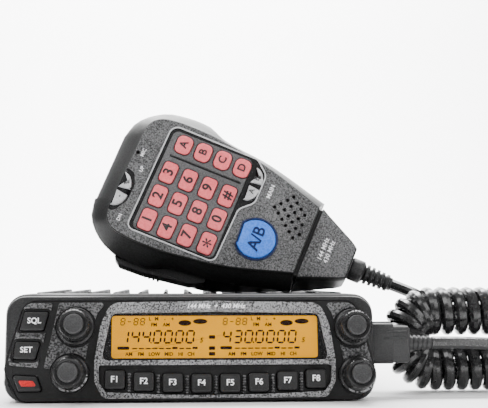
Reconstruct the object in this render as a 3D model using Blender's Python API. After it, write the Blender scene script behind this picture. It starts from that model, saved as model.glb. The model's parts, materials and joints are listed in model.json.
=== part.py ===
"""Mobile transceiver with a keypad hand microphone on a curly cord.

The radio stands on its bottom cover, its face towards -Y and its right side towards +X. The origin
is the centre of the bottom cover's underside. The microphone stands on its flank on the cooling
fins, and its cord ends in a modular plug in the side of the radio's head.

Sizes are in millimetres. MM turns them into metres where a mesh or a place is made.
"""
import math

import bmesh
import bpy
from mathutils import Euler, Matrix, Vector

MM = 0.001

# Clearances
TOUCH_GAP = 0.3
KEY_GAP = 0.35
BORE_GAP = 0.4
CUT_MARGIN = 2.0

# Radio body
RADIO_WIDTH = 145.0
RADIO_HEIGHT = 41.7
FACE_FOOT_Y = -90.0
FACE_LEAN = math.radians(8)
HEAD_BACK_Y = -60.0
HEAD_CORNER = 8.0
CASE_WALL = 2.0
CHASSIS_INSET = 3.5
CHASSIS_REAR_Y = 88.0
CHASSIS_WALL = 3.0
CHASSIS_TOP = 36.0
COVER_THICKNESS = 1.7
RIB_HEIGHT = 6.0
RIB_WIDTH = 4.0
RIB_X = 50.0
CHASSIS_CHAMFER = 1.0
COVER_TRIM_INSET = 1.0

# Cooling fins
FIN_COUNT = 13
FIN_PITCH = 10.4
FIN_ROOT = 2.6
FIN_TIP = 1.6
FIN_HEIGHT = 6.2

# Face plate and the raised display panel
PLATE_THICKNESS = 3.0
PANEL_RAISE = 2.0
FACE_TOP = 39.3
FACE_BOTTOM = 0.9
FACE_WIDEST_Z = 13.0
FACE_TOP_INSET = 8.0
FACE_BOTTOM_INSET = 6.5
FACE_SIDE_INSET = 0.4
FACE_CORNER = 2.5
PANEL_X = 9.4
PANEL_TOP_HALF = 41.0
PANEL_MIDDLE_HALF = 46.8
PANEL_BOTTOM_HALF = 44.0
PANEL_TOP = 38.9
PANEL_BOTTOM = 1.7
PANEL_SHOULDERS = (9.0, 19.0)
PANEL_SHOULDER_INSET = 0.6
PANEL_CORNER = 2.0

# Display
WINDOW_TOP_HALF = 39.5
WINDOW_BOTTOM_HALF = 44.0
WINDOW_TOP = 34.8
WINDOW_BOTTOM = 16.0
WINDOW_CORNER = 1.5
LENS_THICKNESS = 1.2
LCD_WIDTH = 84.0
LCD_HEIGHT = 20.0
LCD_Z = 25.3
LCD_BACK = 5.6
BOARD_THICKNESS = 1.2
BOARD_MARGIN = 3.0

# Keys of the radio
KEY_TRAVEL = 0.8
KEY_CHAMFER = 0.6
FLANGE_WIDTH = 0.5
FLANGE_THICKNESS = 1.0
FRONT_KEY = (7.9, 7.1)
FRONT_KEY_PITCH = 11.09
FRONT_KEY_LOW_Z = 7.3
FRONT_KEY_ARC = 1.5
FRONT_KEY_PROUD = 3.4
FRONT_KEY_CORNER = 1.0
SIDE_KEY_PROUD = 1.3
FRONT_KEY_NAMES = (
    "low_key_left", "vm_key_left", "home_key_left", "scan_key_left",
    "low_key_right", "vm_key_right", "home_key_right", "scan_key_right")
SIDE_KEYS = {
    "squelch_key": ((-66.5, 27.9), (-57.1, 27.9), (-55.2, 35.2), (-64.6, 35.2)),
    "set_key": ((-68.6, 17.0), (-60.0, 16.8), (-58.2, 23.5), (-67.6, 23.7)),
    "power_key": ((-66.2, 4.6), (-57.0, 4.6), (-59.3, 10.3), (-68.6, 10.9))}
SIDE_KEY_CORNER = 0.8

# Knobs: where each stands on the face
KNOBS = {
    "tuning_knob_left": (-44.8, 29.2),
    "volume_knob_left": (-46.6, 11.2),
    "tuning_knob_right": (63.2, 28.6),
    "volume_knob_right": (64.6, 10.2)}
KNOB_SKIRT = 7.3
KNOB_GRIP = 6.2
KNOB_CROWN = 5.6
KNOB_CAP = 3.5
KNOB_LENGTH = 13.4
KNOB_SHAFT = 3.0
KNOB_SIDES = 20
KNOB_SKIRT_STEP = (0.2, 3.4)
KNOB_GRIP_DEPTH = 4.0
KNOB_CAP_SLOPE = 0.2
KNOB_CAP_RECESS = 0.9
KNOB_CROWN_CHAMFER = (0.5, 0.7)

# Inside the radio
MAIN_BOARD = (118.0, 78.0, 1.6)
MAIN_BOARD_Y = -12.0
SPEAKER_RADIUS = 24.0
SPEAKER_HEIGHT = 14.0
SPEAKER_PLACE = (0.0, 58.0)
SPEAKER_RIM = 3.0
SPEAKER_CONE = 9.0
SPEAKER_MAGNET_RADIUS = 12.0
SPEAKER_SIDES = 16
SOCKET_RADIUS = 8.0
SOCKET_FLANGE = 10.5
SOCKET_LENGTH = 16.0
SOCKET_BORE = 4.4
SOCKET_BORE_DEPTH = 11.0
SOCKET_FLANGE_THICKNESS = 2.0
SOCKET_SIDES = 16
SOCKET_PLACE = (-42.0, 20.0)

# Microphone jack and plug, in the right side of the head
JACK_Y = -71.0
JACK_Z = 21.6
JACK_SIZE = (12.0, 13.4, 17.0)
JACK_FLOOR = 1.0
TONGUE_SIZE = (11.0, 8.0, 11.7)
HOOD_LENGTH = 16.0
HOOD_SIZE = (11.0, 16.4)
RELIEF_LENGTH = 9.5
RELIEF_RADIUS = 3.3
RELIEF_CORNER = 2.4
HOOD_CORNER = 1.5
HOOD_CHAMFER = 1.0
TONGUE_CORNER = 0.6

# Microphone: half outlines from the top end to the tail, as distance along and half width
FACE_HALF = ((8.4, 15.8), (9.0, 22.1), (11.6, 26.2), (17.9, 28.4),
             (32.6, 28.8), (44.1, 27.7), (65.1, 24.2), (92.4, 15.8))
PARTING_HALF = ((0.0, 15.8), (2.1, 24.2), (8.4, 31.0), (16.8, 34.9),
                (32.6, 35.7), (42.0, 32.1), (65.1, 29.0), (94.0, 21.4))
BULGE_HALF = ((1.1, 15.8), (3.2, 23.6), (9.5, 29.9), (16.8, 33.6),
              (32.6, 34.9), (44.1, 34.0), (59.9, 32.9), (94.0, 18.4))
BACK_HALF = ((13.7, 6.3), (14.7, 11.6), (18.9, 16.8), (25.2, 19.9),
             (35.7, 21.0), (48.3, 20.4), (63.0, 17.9), (89.2, 11.0))
PARTING_DEPTH = 9.5
BULGE_DEPTH = 18.9
MIC_DEPTH = 31.5
MIC_EDGE = 1.5
SHELL_WALL = 2.3
MIC_SHELL_LENGTH = 94.0

# Microphone tail, boot and hang button
TAIL_LENGTH = 20.4
TAIL_HALF_WIDTH = (17.6, 8.4)
TAIL_FRONT = (-2.1, -6.3)
TAIL_BACK = (-26.2, -22.1)
TAIL_CORNER = 2.7
BOOT_Z = -14.2
BOOT_LENGTH = 18.9
BOOT_ROOT_LENGTH = 5.8
BOOT_ROOT_RADIUS = 5.1
BOOT_WAIST_RADIUS = 4.1
BOOT_END_RADIUS = 3.6
BOOT_STEP = 0.8
BOOT_SIDES = 12
HANG_BUTTON_X = 46.2
HANG_BUTTON_RADIUS = 6.8
HANG_BUTTON_NECK = 3.7
HANG_BUTTON_HEIGHT = 6.3
HANG_BUTTON_HEAD = 2.0
HANG_BUTTON_CHAMFER = 0.8
HANG_BUTTON_SIDES = 14

# Microphone keypad
MIC_KEY = (6.4, 9.6)
MEMORY_KEY = (7.1, 8.4)
MIC_KEY_PITCH = (9.2, 11.7)
MIC_KEY_FIRST = (26.1, -18.5)
MEMORY_KEY_FIRST = (27.2, 19.4)
MIC_KEY_CORNER = 1.7
MEMORY_KEY_CORNER = 2.5
MIC_KEY_PROUD = 1.2
MIC_KEY_NAMES = (
    ("mic_key_1", "mic_key_2", "mic_key_3"),
    ("mic_key_4", "mic_key_5", "mic_key_6"),
    ("mic_key_7", "mic_key_8", "mic_key_9"),
    ("mic_key_star", "mic_key_0", "mic_key_hash"))
MEMORY_KEY_NAMES = ("mic_key_pa", "mic_key_pb", "mic_key_pc", "mic_key_pd")
BAND_KEY_PLACE = (72.3, -8.4)
BAND_KEY_RADIUS = 8.6
BAND_KEY_FLAT = 7.2
MIC_FLANGE = 0.4
MOON_DEPTH = 5.2
MOON_LENGTH = 7.2
MOON_WEB = 0.8
MOON_FLANGE = 0.2
MOON_START = math.radians(6)
MOON_STEPS = 4
BAND_KEY_STEPS = 15
MAIN_KEYS_PLACE = (63.2, 14.1)
STEP_KEYS_PLACE = (11.3, -10.3)

# Push-to-talk bar in the lower flank, turning about its end nearest the top
PTT_OUTLINE = ((18.1, -36.3), (21.0, -38.4), (31.5, -38.0), (52.5, -34.9),
               (58.4, -31.9), (58.4, -29.0), (18.1, -29.0))
PTT_PIVOT = (19.3, -31.5)
PTT_DEPTHS = (-18.3, -10.9)
PTT_GAP = 0.8
PTT_CORNER = 0.8
PTT_SLOT = (-42.0, -26.0)

# Microphone inside
MIC_BOARD_OUTLINE = ((14.7, -21.0), (63.0, -21.0), (86.1, -12.6),
                     (86.1, 12.6), (63.0, 21.0), (14.7, 21.0))
MIC_BOARD_TOP = -6.3
MIC_BOARD_THICKNESS = 1.3
ELEMENT_PLACE = (10.7, 7.8)
ELEMENT_RADIUS = 3.2
ELEMENT_LENGTH = 7.2
ELEMENT_OVER_PARTING = 4.1

# How the microphone stands on the fins
MIC_ROLL = math.radians(22.8)
MIC_LEAN = math.radians(15.2)
MIC_X = -35.2
MIC_Y = -38.0

# Cord
CORD_RADIUS = 2.6
CURL_RADIUS = 10.4
CURL_Y = -53.0
CURL_BEND_X = 103.0
CURL_END_X = 180.6
CURL_LOW_Z = 10.8
CURL_HIGH_Z = 34.0
CURL_BEND_STEPS = 8
CORD_POINT_SPACING = 11.0
CORD_STRAIGHT_START = 12.0
CURL_APPROACH = 9.0
MIC_LEAD_ROUTE = ((115.0, -36.5, 33.0), (140.0, -35.0, 27.0), (170.0, -35.0, 26.0),
                  (194.0, -36.5, 29.0), (206.0, -43.0, 32.5), (202.0, -51.0, 34.0))
PLUG_LEAD_ROUTE = ((112.0, -71.5, 21.5), (132.0, -71.5, 20.5), (162.0, -71.0, 18.0),
                   (190.0, -69.0, 14.0), (206.0, -62.5, 11.6), (204.0, -55.0, 10.9))


# ---------------------------------------------------------------- outlines and solids

def rounded_polygon(corners, radius, steps=2):
    """An anticlockwise convex outline whose corners are arcs of one radius."""
    outline = []
    for index, corner in enumerate(corners):
        corner = Vector(corner)
        before = (Vector(corners[index - 1]) - corner).normalized()
        after = (Vector(corners[(index + 1) % len(corners)]) - corner).normalized()
        half_angle = before.angle(after) / 2
        centre = corner + (before + after).normalized() * radius / math.sin(half_angle)
        start = corner + before * radius / math.tan(half_angle) - centre
        first_angle = math.atan2(start.y, start.x)
        sweep = math.pi - 2 * half_angle
        for step in range(steps + 1):
            angle = first_angle + sweep * step / steps
            outline.append(centre + radius * Vector((math.cos(angle), math.sin(angle))))
    return outline


def rectangle(width, height, centre=(0.0, 0.0)):
    """The corners of a rectangle, anticlockwise."""
    x, y = centre
    return ((x - width / 2, y - height / 2), (x + width / 2, y - height / 2),
            (x + width / 2, y + height / 2), (x - width / 2, y + height / 2))


def circle(radius, sides, centre=(0.0, 0.0)):
    """The points of a circle, anticlockwise."""
    return [(centre[0] + radius * math.cos(math.tau * side / sides),
             centre[1] + radius * math.sin(math.tau * side / sides)) for side in range(sides)]


def offset(outline, distance):
    """An anticlockwise outline moved outwards by a distance, or inwards if it is negative."""
    moved = []
    for index, point in enumerate(outline):
        point = Vector(point)
        arriving = (point - Vector(outline[index - 1])).normalized()
        leaving = (Vector(outline[(index + 1) % len(outline)]) - point).normalized()
        normal_in = Vector((arriving.y, -arriving.x))
        normal_out = Vector((leaving.y, -leaving.x))
        mitre = (normal_in + normal_out).normalized()
        moved.append(point + mitre * distance / mitre.dot(normal_in))
    return moved


def mirrored(half_outline):
    """The whole anticlockwise outline of a shape given as distance along and half width."""
    lower = [(along, -half) for along, half in half_outline]
    upper = [(along, half) for along, half in reversed(half_outline)]
    return lower + upper


def on_face(outline, depth):
    """An outline of x and z at a depth behind the front of the face plate."""
    return [(point[0], depth, point[1]) for point in outline]


def on_mic(outline, height):
    """An outline of x and y at a height over the microphone's face."""
    return [(point[0], point[1], height) for point in outline]


def across(outline, x):
    """An outline of y and z at a place along X."""
    return [(x, point[0], point[1]) for point in outline]


def loft(rings):
    """A closed solid through rings of equal point counts, with a flat cap at each end."""
    solid = bmesh.new()
    rows = [[solid.verts.new(Vector(point) * MM) for point in ring] for ring in rings]
    for near, far in zip(rows, rows[1:]):
        for index in range(len(near)):
            following = (index + 1) % len(near)
            solid.faces.new((near[index], near[following], far[following], far[index]))
    solid.faces.new(rows[0])
    solid.faces.new(rows[-1])
    bmesh.ops.recalc_face_normals(solid, faces=solid.faces)
    return solid


def turned(profile, sides, lay, centre=(0.0, 0.0)):
    """A turned solid: the profile is radius and depth, and lay puts a circle at a depth."""
    return loft([lay(circle(radius, sides, centre), depth) for radius, depth in profile])


def gathered(solids):
    """Separate solids in one mesh, for a cutter with several bodies."""
    whole = bmesh.new()
    for solid in solids:
        carrier = bpy.data.meshes.new("carrier")
        solid.to_mesh(carrier)
        solid.free()
        whole.from_mesh(carrier)
        bpy.data.meshes.remove(carrier)
    return whole


# ---------------------------------------------------------------- objects

def material(name, colour, roughness, metallic=0.0):
    """A Principled material."""
    made = bpy.data.materials.new(name)
    made.use_nodes = True
    shader = made.node_tree.nodes["Principled BSDF"]
    shader.inputs["Base Color"].default_value = (*colour, 1.0)
    shader.inputs["Roughness"].default_value = roughness
    shader.inputs["Metallic"].default_value = metallic
    made.diffuse_color = (*colour, 1.0)
    return made


def add_frame(name, place, rotation):
    """An empty that carries the parts modelled in its own frame."""
    frame = bpy.data.objects.new(name, None)
    frame.location = Vector(place) * MM
    frame.rotation_euler = rotation
    bpy.context.collection.objects.link(frame)
    return frame


def add_part(name, solid, finish, frame=None, place=(0.0, 0.0, 0.0)):
    """A named object from a bmesh, placed in its frame."""
    mesh = bpy.data.meshes.new(name)
    solid.to_mesh(mesh)
    solid.free()
    mesh.materials.append(finish)
    mesh.shade_smooth()
    mesh.set_sharp_from_angle(angle=math.radians(35))
    part = bpy.data.objects.new(name, mesh)
    part.parent = frame
    part.location = Vector(place) * MM
    bpy.context.collection.objects.link(part)
    return part


def boolean(part, solids, operation="DIFFERENCE"):
    """Cut separate solids, given in the part's own frame, out of it, or join them to it."""
    cutter = add_part("guide_" + part.name, gathered(solids), part.data.materials[0], part.parent)
    cutter.hide_render = True
    cutter.display_type = "WIRE"
    modifier = part.modifiers.new(operation.title(), "BOOLEAN")
    modifier.operation = operation
    modifier.solver = "EXACT"
    modifier.object = cutter


def key_solid(outline, lay, proud, flange_at, flange_width=FLANGE_WIDTH):
    """A key with a chamfered top at -proud and a flange that keeps it behind its plate."""
    cap = offset(outline, -KEY_CHAMFER)
    flange = offset(outline, flange_width)
    return loft([lay(cap, -proud), lay(outline, -proud + KEY_CHAMFER), lay(outline, flange_at),
                 lay(flange, flange_at), lay(flange, flange_at + FLANGE_THICKNESS)])


def key_cutter(outline, lay, plate, flange_width):
    """The hole for a key, which widens behind a plate of a thickness for the key's flange."""
    hole = offset(outline, KEY_GAP)
    pocket = offset(outline, flange_width + KEY_GAP)
    return loft([lay(hole, -plate), lay(hole, plate), lay(pocket, plate),
                 lay(pocket, plate + FLANGE_THICKNESS + KEY_TRAVEL + 2 * TOUCH_GAP)])


# ---------------------------------------------------------------- radio

def face_y(depth, z):
    """World y, at a world height, of the plane at a depth behind the leaning face plate."""
    return FACE_FOOT_Y + (depth + z * math.sin(FACE_LEAN)) / math.cos(FACE_LEAN)


def face_outline():
    """The six-sided outline of the face plate."""
    half = RADIO_WIDTH / 2
    bottom = half - FACE_BOTTOM_INSET
    widest = half - FACE_SIDE_INSET
    top = half - FACE_TOP_INSET
    corners = ((-bottom, FACE_BOTTOM), (bottom, FACE_BOTTOM), (widest, FACE_WIDEST_Z),
               (top, FACE_TOP), (-top, FACE_TOP), (-widest, FACE_WIDEST_Z))
    return rounded_polygon(corners, FACE_CORNER)


def panel_outline():
    """The raised display panel's outline."""
    low, high = PANEL_SHOULDERS
    half = ((PANEL_BOTTOM_HALF, PANEL_BOTTOM), (PANEL_MIDDLE_HALF, low),
            (PANEL_MIDDLE_HALF - PANEL_SHOULDER_INSET, high), (PANEL_TOP_HALF, PANEL_TOP))
    right = [(PANEL_X + x, z) for x, z in half]
    left = [(PANEL_X - x, z) for x, z in reversed(half)]
    return rounded_polygon(right + left, PANEL_CORNER)


def window_outline():
    """The window in the display panel, wider at its foot."""
    corners = ((PANEL_X - WINDOW_BOTTOM_HALF, WINDOW_BOTTOM),
               (PANEL_X + WINDOW_BOTTOM_HALF, WINDOW_BOTTOM),
               (PANEL_X + WINDOW_TOP_HALF, WINDOW_TOP),
               (PANEL_X - WINDOW_TOP_HALF, WINDOW_TOP))
    return rounded_polygon(corners, WINDOW_CORNER)


def front_key_places():
    """Centres of the eight keys, which lie on a shallow arc."""
    count = len(FRONT_KEY_NAMES)
    places = []
    for index in range(count):
        across_centre = (index - (count - 1) / 2) / ((count - 1) / 2)
        x = PANEL_X + across_centre * FRONT_KEY_PITCH * (count - 1) / 2
        places.append((x, FRONT_KEY_LOW_Z + FRONT_KEY_ARC * across_centre ** 2))
    return places


def build_chassis(finishes):
    """Finned chassis, bottom cover, main board, speaker and antenna socket."""
    half = RADIO_WIDTH / 2 - CHASSIS_INSET
    front = HEAD_BACK_Y + TOUCH_GAP
    foot = COVER_THICKNESS + TOUCH_GAP
    fins = []
    for index in range(FIN_COUNT):
        x = (index - (FIN_COUNT - 1) / 2) * FIN_PITCH
        fins += [(x - FIN_ROOT / 2, CHASSIS_TOP), (x - FIN_TIP / 2, CHASSIS_TOP + FIN_HEIGHT),
                 (x + FIN_TIP / 2, CHASSIS_TOP + FIN_HEIGHT), (x + FIN_ROOT / 2, CHASSIS_TOP)]
    shoulder = half - CHASSIS_CHAMFER
    side_top = CHASSIS_TOP - CHASSIS_CHAMFER
    section = [(-half, foot), (-half, side_top), (-shoulder, CHASSIS_TOP)] + fins
    section += [(shoulder, CHASSIS_TOP), (half, side_top), (half, foot)]
    chassis = add_part("heatsink_chassis", loft([on_face(section, front),
                                                 on_face(section, CHASSIS_REAR_Y)]),
                       finishes["cast"])
    hollow_top = CHASSIS_TOP - CHASSIS_WALL
    hollow = rectangle(2 * (half - CHASSIS_WALL), hollow_top + CUT_MARGIN,
                       (0, (hollow_top - CUT_MARGIN) / 2))
    boolean(chassis, [loft([on_face(hollow, front - CUT_MARGIN),
                            on_face(hollow, CHASSIS_REAR_Y - CHASSIS_WALL)])])

    rib_top = COVER_THICKNESS + RIB_HEIGHT
    cover = [(-half, 0), (half, 0), (half, COVER_THICKNESS)]
    for x in (RIB_X, -RIB_X):
        cover += [(x + RIB_WIDTH / 2, COVER_THICKNESS), (x + RIB_WIDTH / 2, rib_top),
                  (x - RIB_WIDTH / 2, rib_top), (x - RIB_WIDTH / 2, COVER_THICKNESS)]
    cover.append((-half, COVER_THICKNESS))
    rib_back = CHASSIS_REAR_Y - CHASSIS_WALL - TOUCH_GAP
    bottom = add_part("bottom_cover", loft([on_face(cover, front),
                                            on_face(cover, CHASSIS_REAR_Y)]), finishes["cast"])
    trim = rectangle(2 * (half - COVER_TRIM_INSET), RIB_HEIGHT + CUT_MARGIN,
                     (0, COVER_THICKNESS + (RIB_HEIGHT + CUT_MARGIN) / 2))
    boolean(bottom, [loft([on_face(trim, rib_back),
                           on_face(trim, CHASSIS_REAR_Y + CUT_MARGIN)])])

    width, length, thickness = MAIN_BOARD
    board = rectangle(width, thickness, (0, rib_top + TOUCH_GAP + thickness / 2))
    add_part("main_board", loft([on_face(board, MAIN_BOARD_Y - length / 2),
                                 on_face(board, MAIN_BOARD_Y + length / 2)]), finishes["board"])

    low = COVER_THICKNESS + TOUCH_GAP
    profile = ((SPEAKER_RADIUS, low), (SPEAKER_RADIUS, low + SPEAKER_RIM),
               (SPEAKER_MAGNET_RADIUS, low + SPEAKER_CONE),
               (SPEAKER_MAGNET_RADIUS, low + SPEAKER_HEIGHT))
    add_part("speaker", turned(profile, SPEAKER_SIDES, on_mic, SPEAKER_PLACE), finishes["steel"])

    rear = CHASSIS_REAR_Y + TOUCH_GAP
    bore_floor = rear + SOCKET_LENGTH - SOCKET_BORE_DEPTH
    neck = rear + SOCKET_FLANGE_THICKNESS
    profile = ((SOCKET_FLANGE, rear), (SOCKET_FLANGE, neck), (SOCKET_RADIUS, neck),
               (SOCKET_RADIUS, rear + SOCKET_LENGTH), (SOCKET_BORE, rear + SOCKET_LENGTH),
               (SOCKET_BORE, bore_floor))
    add_part("antenna_socket", turned(profile, SOCKET_SIDES, on_face, SOCKET_PLACE),
             finishes["chrome"])


def build_head(finishes):
    """Head case, face plate, display, boards, keys, knobs and the microphone jack."""
    face = add_frame("face_frame", (0, FACE_FOOT_Y, 0), Euler((-FACE_LEAN, 0, 0)))
    case_back = PLATE_THICKNESS + TOUCH_GAP

    case = rounded_polygon(rectangle(RADIO_WIDTH, RADIO_HEIGHT - TOUCH_GAP,
                                     (0, (RADIO_HEIGHT + TOUCH_GAP) / 2)), HEAD_CORNER, 3)
    lining = offset(case, -CASE_WALL)
    head_case = add_part("head_case", loft([
        on_face(case, HEAD_BACK_Y),
        [(x, face_y(case_back, z), z) for x, z in case],
        [(x, face_y(case_back, z), z) for x, z in lining],
        on_face(lining, HEAD_BACK_Y - CASE_WALL)]), finishes["case"])
    tongue_hole = rectangle(TONGUE_SIZE[1] + 2 * BORE_GAP, TONGUE_SIZE[2] + 2 * BORE_GAP,
                            (JACK_Y, JACK_Z))
    side = RADIO_WIDTH / 2
    boolean(head_case, [loft([across(tongue_hole, side - CASE_WALL - CUT_MARGIN),
                              across(tongue_hole, side + CUT_MARGIN)])])

    jack_right = side - CASE_WALL - TOUCH_GAP
    jack = rectangle(JACK_SIZE[1], JACK_SIZE[2], (JACK_Y, JACK_Z))
    add_part("mic_jack", loft([across(jack, jack_right - JACK_SIZE[0]), across(jack, jack_right),
                               across(tongue_hole, jack_right),
                               across(tongue_hole, jack_right - JACK_SIZE[0] + JACK_FLOOR)]),
             finishes["case"])

    front_keys = {name: rounded_polygon(rectangle(*FRONT_KEY, place), FRONT_KEY_CORNER, 1)
                  for name, place in zip(FRONT_KEY_NAMES, front_key_places())}
    side_keys = {name: rounded_polygon(corners, SIDE_KEY_CORNER, 1)
                 for name, corners in SIDE_KEYS.items()}
    holes = [offset(outline, KEY_GAP) for outline in (*front_keys.values(), *side_keys.values())]
    holes += [circle(KNOB_SHAFT + BORE_GAP, 12, place) for place in KNOBS.values()]
    holes.append(rectangle(LCD_WIDTH + 2 * KEY_GAP, LCD_HEIGHT + 2 * KEY_GAP, (PANEL_X, LCD_Z)))
    plate = add_part("face_plate", loft([on_face(face_outline(), 0),
                                         on_face(face_outline(), PLATE_THICKNESS)]),
                     finishes["wrinkle"], face)
    boolean(plate, [loft([on_face(hole, -CUT_MARGIN),
                          on_face(hole, PLATE_THICKNESS + CUT_MARGIN)]) for hole in holes])

    panel = add_part("display_panel", loft([on_face(panel_outline(), -PANEL_RAISE),
                                            on_face(panel_outline(), -TOUCH_GAP)]),
                     finishes["wrinkle"], face)
    holes = [offset(outline, KEY_GAP) for outline in front_keys.values()]
    holes.append(offset(window_outline(), KEY_GAP))
    holes += [circle(KNOB_SKIRT + TOUCH_GAP, KNOB_SIDES, place) for place in KNOBS.values()]
    boolean(panel, [loft([on_face(hole, -PANEL_RAISE - CUT_MARGIN), on_face(hole, CUT_MARGIN)])
                    for hole in holes])

    lens_back = -TOUCH_GAP
    add_part("display_lens", loft([on_face(window_outline(), lens_back - LENS_THICKNESS),
                                   on_face(window_outline(), lens_back)]),
             finishes["lens"], face)
    lcd = rectangle(LCD_WIDTH, LCD_HEIGHT, (PANEL_X, LCD_Z))
    add_part("lcd_module", loft([on_face(lcd, TOUCH_GAP), on_face(lcd, LCD_BACK)]),
             finishes["amber"], face)
    board = offset(face_outline(), -BOARD_MARGIN)
    board_front = LCD_BACK + TOUCH_GAP
    add_part("control_board", loft([on_face(board, board_front),
                                    on_face(board, board_front + BOARD_THICKNESS)]),
             finishes["board"], face)

    for outlines, proud in ((front_keys, FRONT_KEY_PROUD), (side_keys, SIDE_KEY_PROUD)):
        for name, outline in outlines.items():
            centre = sum((Vector(point) for point in outline), Vector((0, 0))) / len(outline)
            local = [Vector(point) - centre for point in outline]
            add_part(name, key_solid(local, on_face, proud, PLATE_THICKNESS + TOUCH_GAP),
                     finishes["key"], face, (centre.x, 0, centre.y))

    step_in, step_depth = KNOB_SKIRT_STEP
    chamfer_in, chamfer_depth = KNOB_CROWN_CHAMFER
    crown_top = KNOB_CAP_RECESS - KNOB_LENGTH
    profile = ((KNOB_CAP, -KNOB_LENGTH), (KNOB_CAP + KNOB_CAP_SLOPE, crown_top),
               (KNOB_CROWN - chamfer_in, crown_top), (KNOB_CROWN, crown_top + chamfer_depth),
               (KNOB_GRIP, -KNOB_GRIP_DEPTH), (KNOB_SKIRT - step_in, -step_depth),
               (KNOB_SKIRT, -TOUCH_GAP), (KNOB_SHAFT, -TOUCH_GAP), (KNOB_SHAFT, LCD_BACK))
    for name, (x, z) in KNOBS.items():
        add_part(name, turned(profile, KNOB_SIDES, on_face), finishes["gloss"], face, (x, 0, z))


# ---------------------------------------------------------------- microphone

def mic_rotation():
    """Turns the microphone's frame, z out of its face and x towards its tail, to how it stands."""
    upright = Matrix.Rotation(math.radians(90), 4, "X")
    roll = Matrix.Rotation(MIC_ROLL, 4, "Y")
    lean = Matrix.Rotation(-MIC_LEAN, 4, "X")
    return lean @ roll @ upright


def mic_height():
    """The height of the microphone's origin at which its lower flank meets the fins."""
    turn = mic_rotation()
    flank = on_mic(mirrored(BULGE_HALF), -BULGE_DEPTH) + on_mic(mirrored(PARTING_HALF),
                                                                -PARTING_DEPTH)
    lowest = min((turn @ Vector(point)).z for point in flank)
    return CHASSIS_TOP + FIN_HEIGHT + TOUCH_GAP - lowest


def quarter_moon(side, centre):
    """Half of a half-moon button pair, on one side of the line between the two."""
    gap = KEY_GAP + MOON_WEB / 2
    points = [(-MOON_DEPTH / 2, gap)]
    for step in range(MOON_STEPS + 1):
        angle = MOON_START + (math.pi / 2 - MOON_START) * step / MOON_STEPS
        points.append((MOON_DEPTH * math.cos(angle) - MOON_DEPTH / 2,
                       gap + MOON_LENGTH * math.sin(angle)))
    if side < 0:
        points = [(x, -y) for x, y in reversed(points)]
    return [(centre[0] + x, centre[1] + y) for x, y in points]


def band_key_outline():
    """A round key with one flat, towards the keypad."""
    flat_angle = math.acos(BAND_KEY_FLAT / BAND_KEY_RADIUS)
    sweep = math.tau - 2 * flat_angle
    return [(BAND_KEY_PLACE[0] + BAND_KEY_RADIUS * math.cos(math.pi + flat_angle + turn),
             BAND_KEY_PLACE[1] + BAND_KEY_RADIUS * math.sin(math.pi + flat_angle + turn))
            for turn in (sweep * step / BAND_KEY_STEPS for step in range(BAND_KEY_STEPS + 1))]


def mic_depth(outline, depth):
    """An outline of x and y at a depth behind the microphone's face."""
    return on_mic(outline, -depth)


def mic_keys():
    """Every key on the microphone's face: name to outline, finish and flange width."""
    keys = {}
    for row, names in enumerate(MIC_KEY_NAMES):
        for column, name in enumerate(names):
            place = (MIC_KEY_FIRST[0] + row * MIC_KEY_PITCH[0],
                     MIC_KEY_FIRST[1] + column * MIC_KEY_PITCH[1])
            outline = rounded_polygon(rectangle(*MIC_KEY, place), MIC_KEY_CORNER, 1)
            keys[name] = (outline, "pink", MIC_FLANGE)
    for row, name in enumerate(MEMORY_KEY_NAMES):
        place = (MEMORY_KEY_FIRST[0] + row * MIC_KEY_PITCH[0], MEMORY_KEY_FIRST[1])
        outline = rounded_polygon(rectangle(*MEMORY_KEY, place), MEMORY_KEY_CORNER, 1)
        keys[name] = (outline, "pink", MIC_FLANGE)
    keys["band_key"] = (band_key_outline(), "blue", MIC_FLANGE)
    keys["main_key_a"] = (quarter_moon(-1, MAIN_KEYS_PLACE), "pale", MOON_FLANGE)
    keys["main_key_b"] = (quarter_moon(1, MAIN_KEYS_PLACE), "pale", MOON_FLANGE)
    keys["down_key"] = (quarter_moon(-1, STEP_KEYS_PLACE), "pale", MOON_FLANGE)
    keys["up_key"] = (quarter_moon(1, STEP_KEYS_PLACE), "pale", MOON_FLANGE)
    return keys


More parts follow.
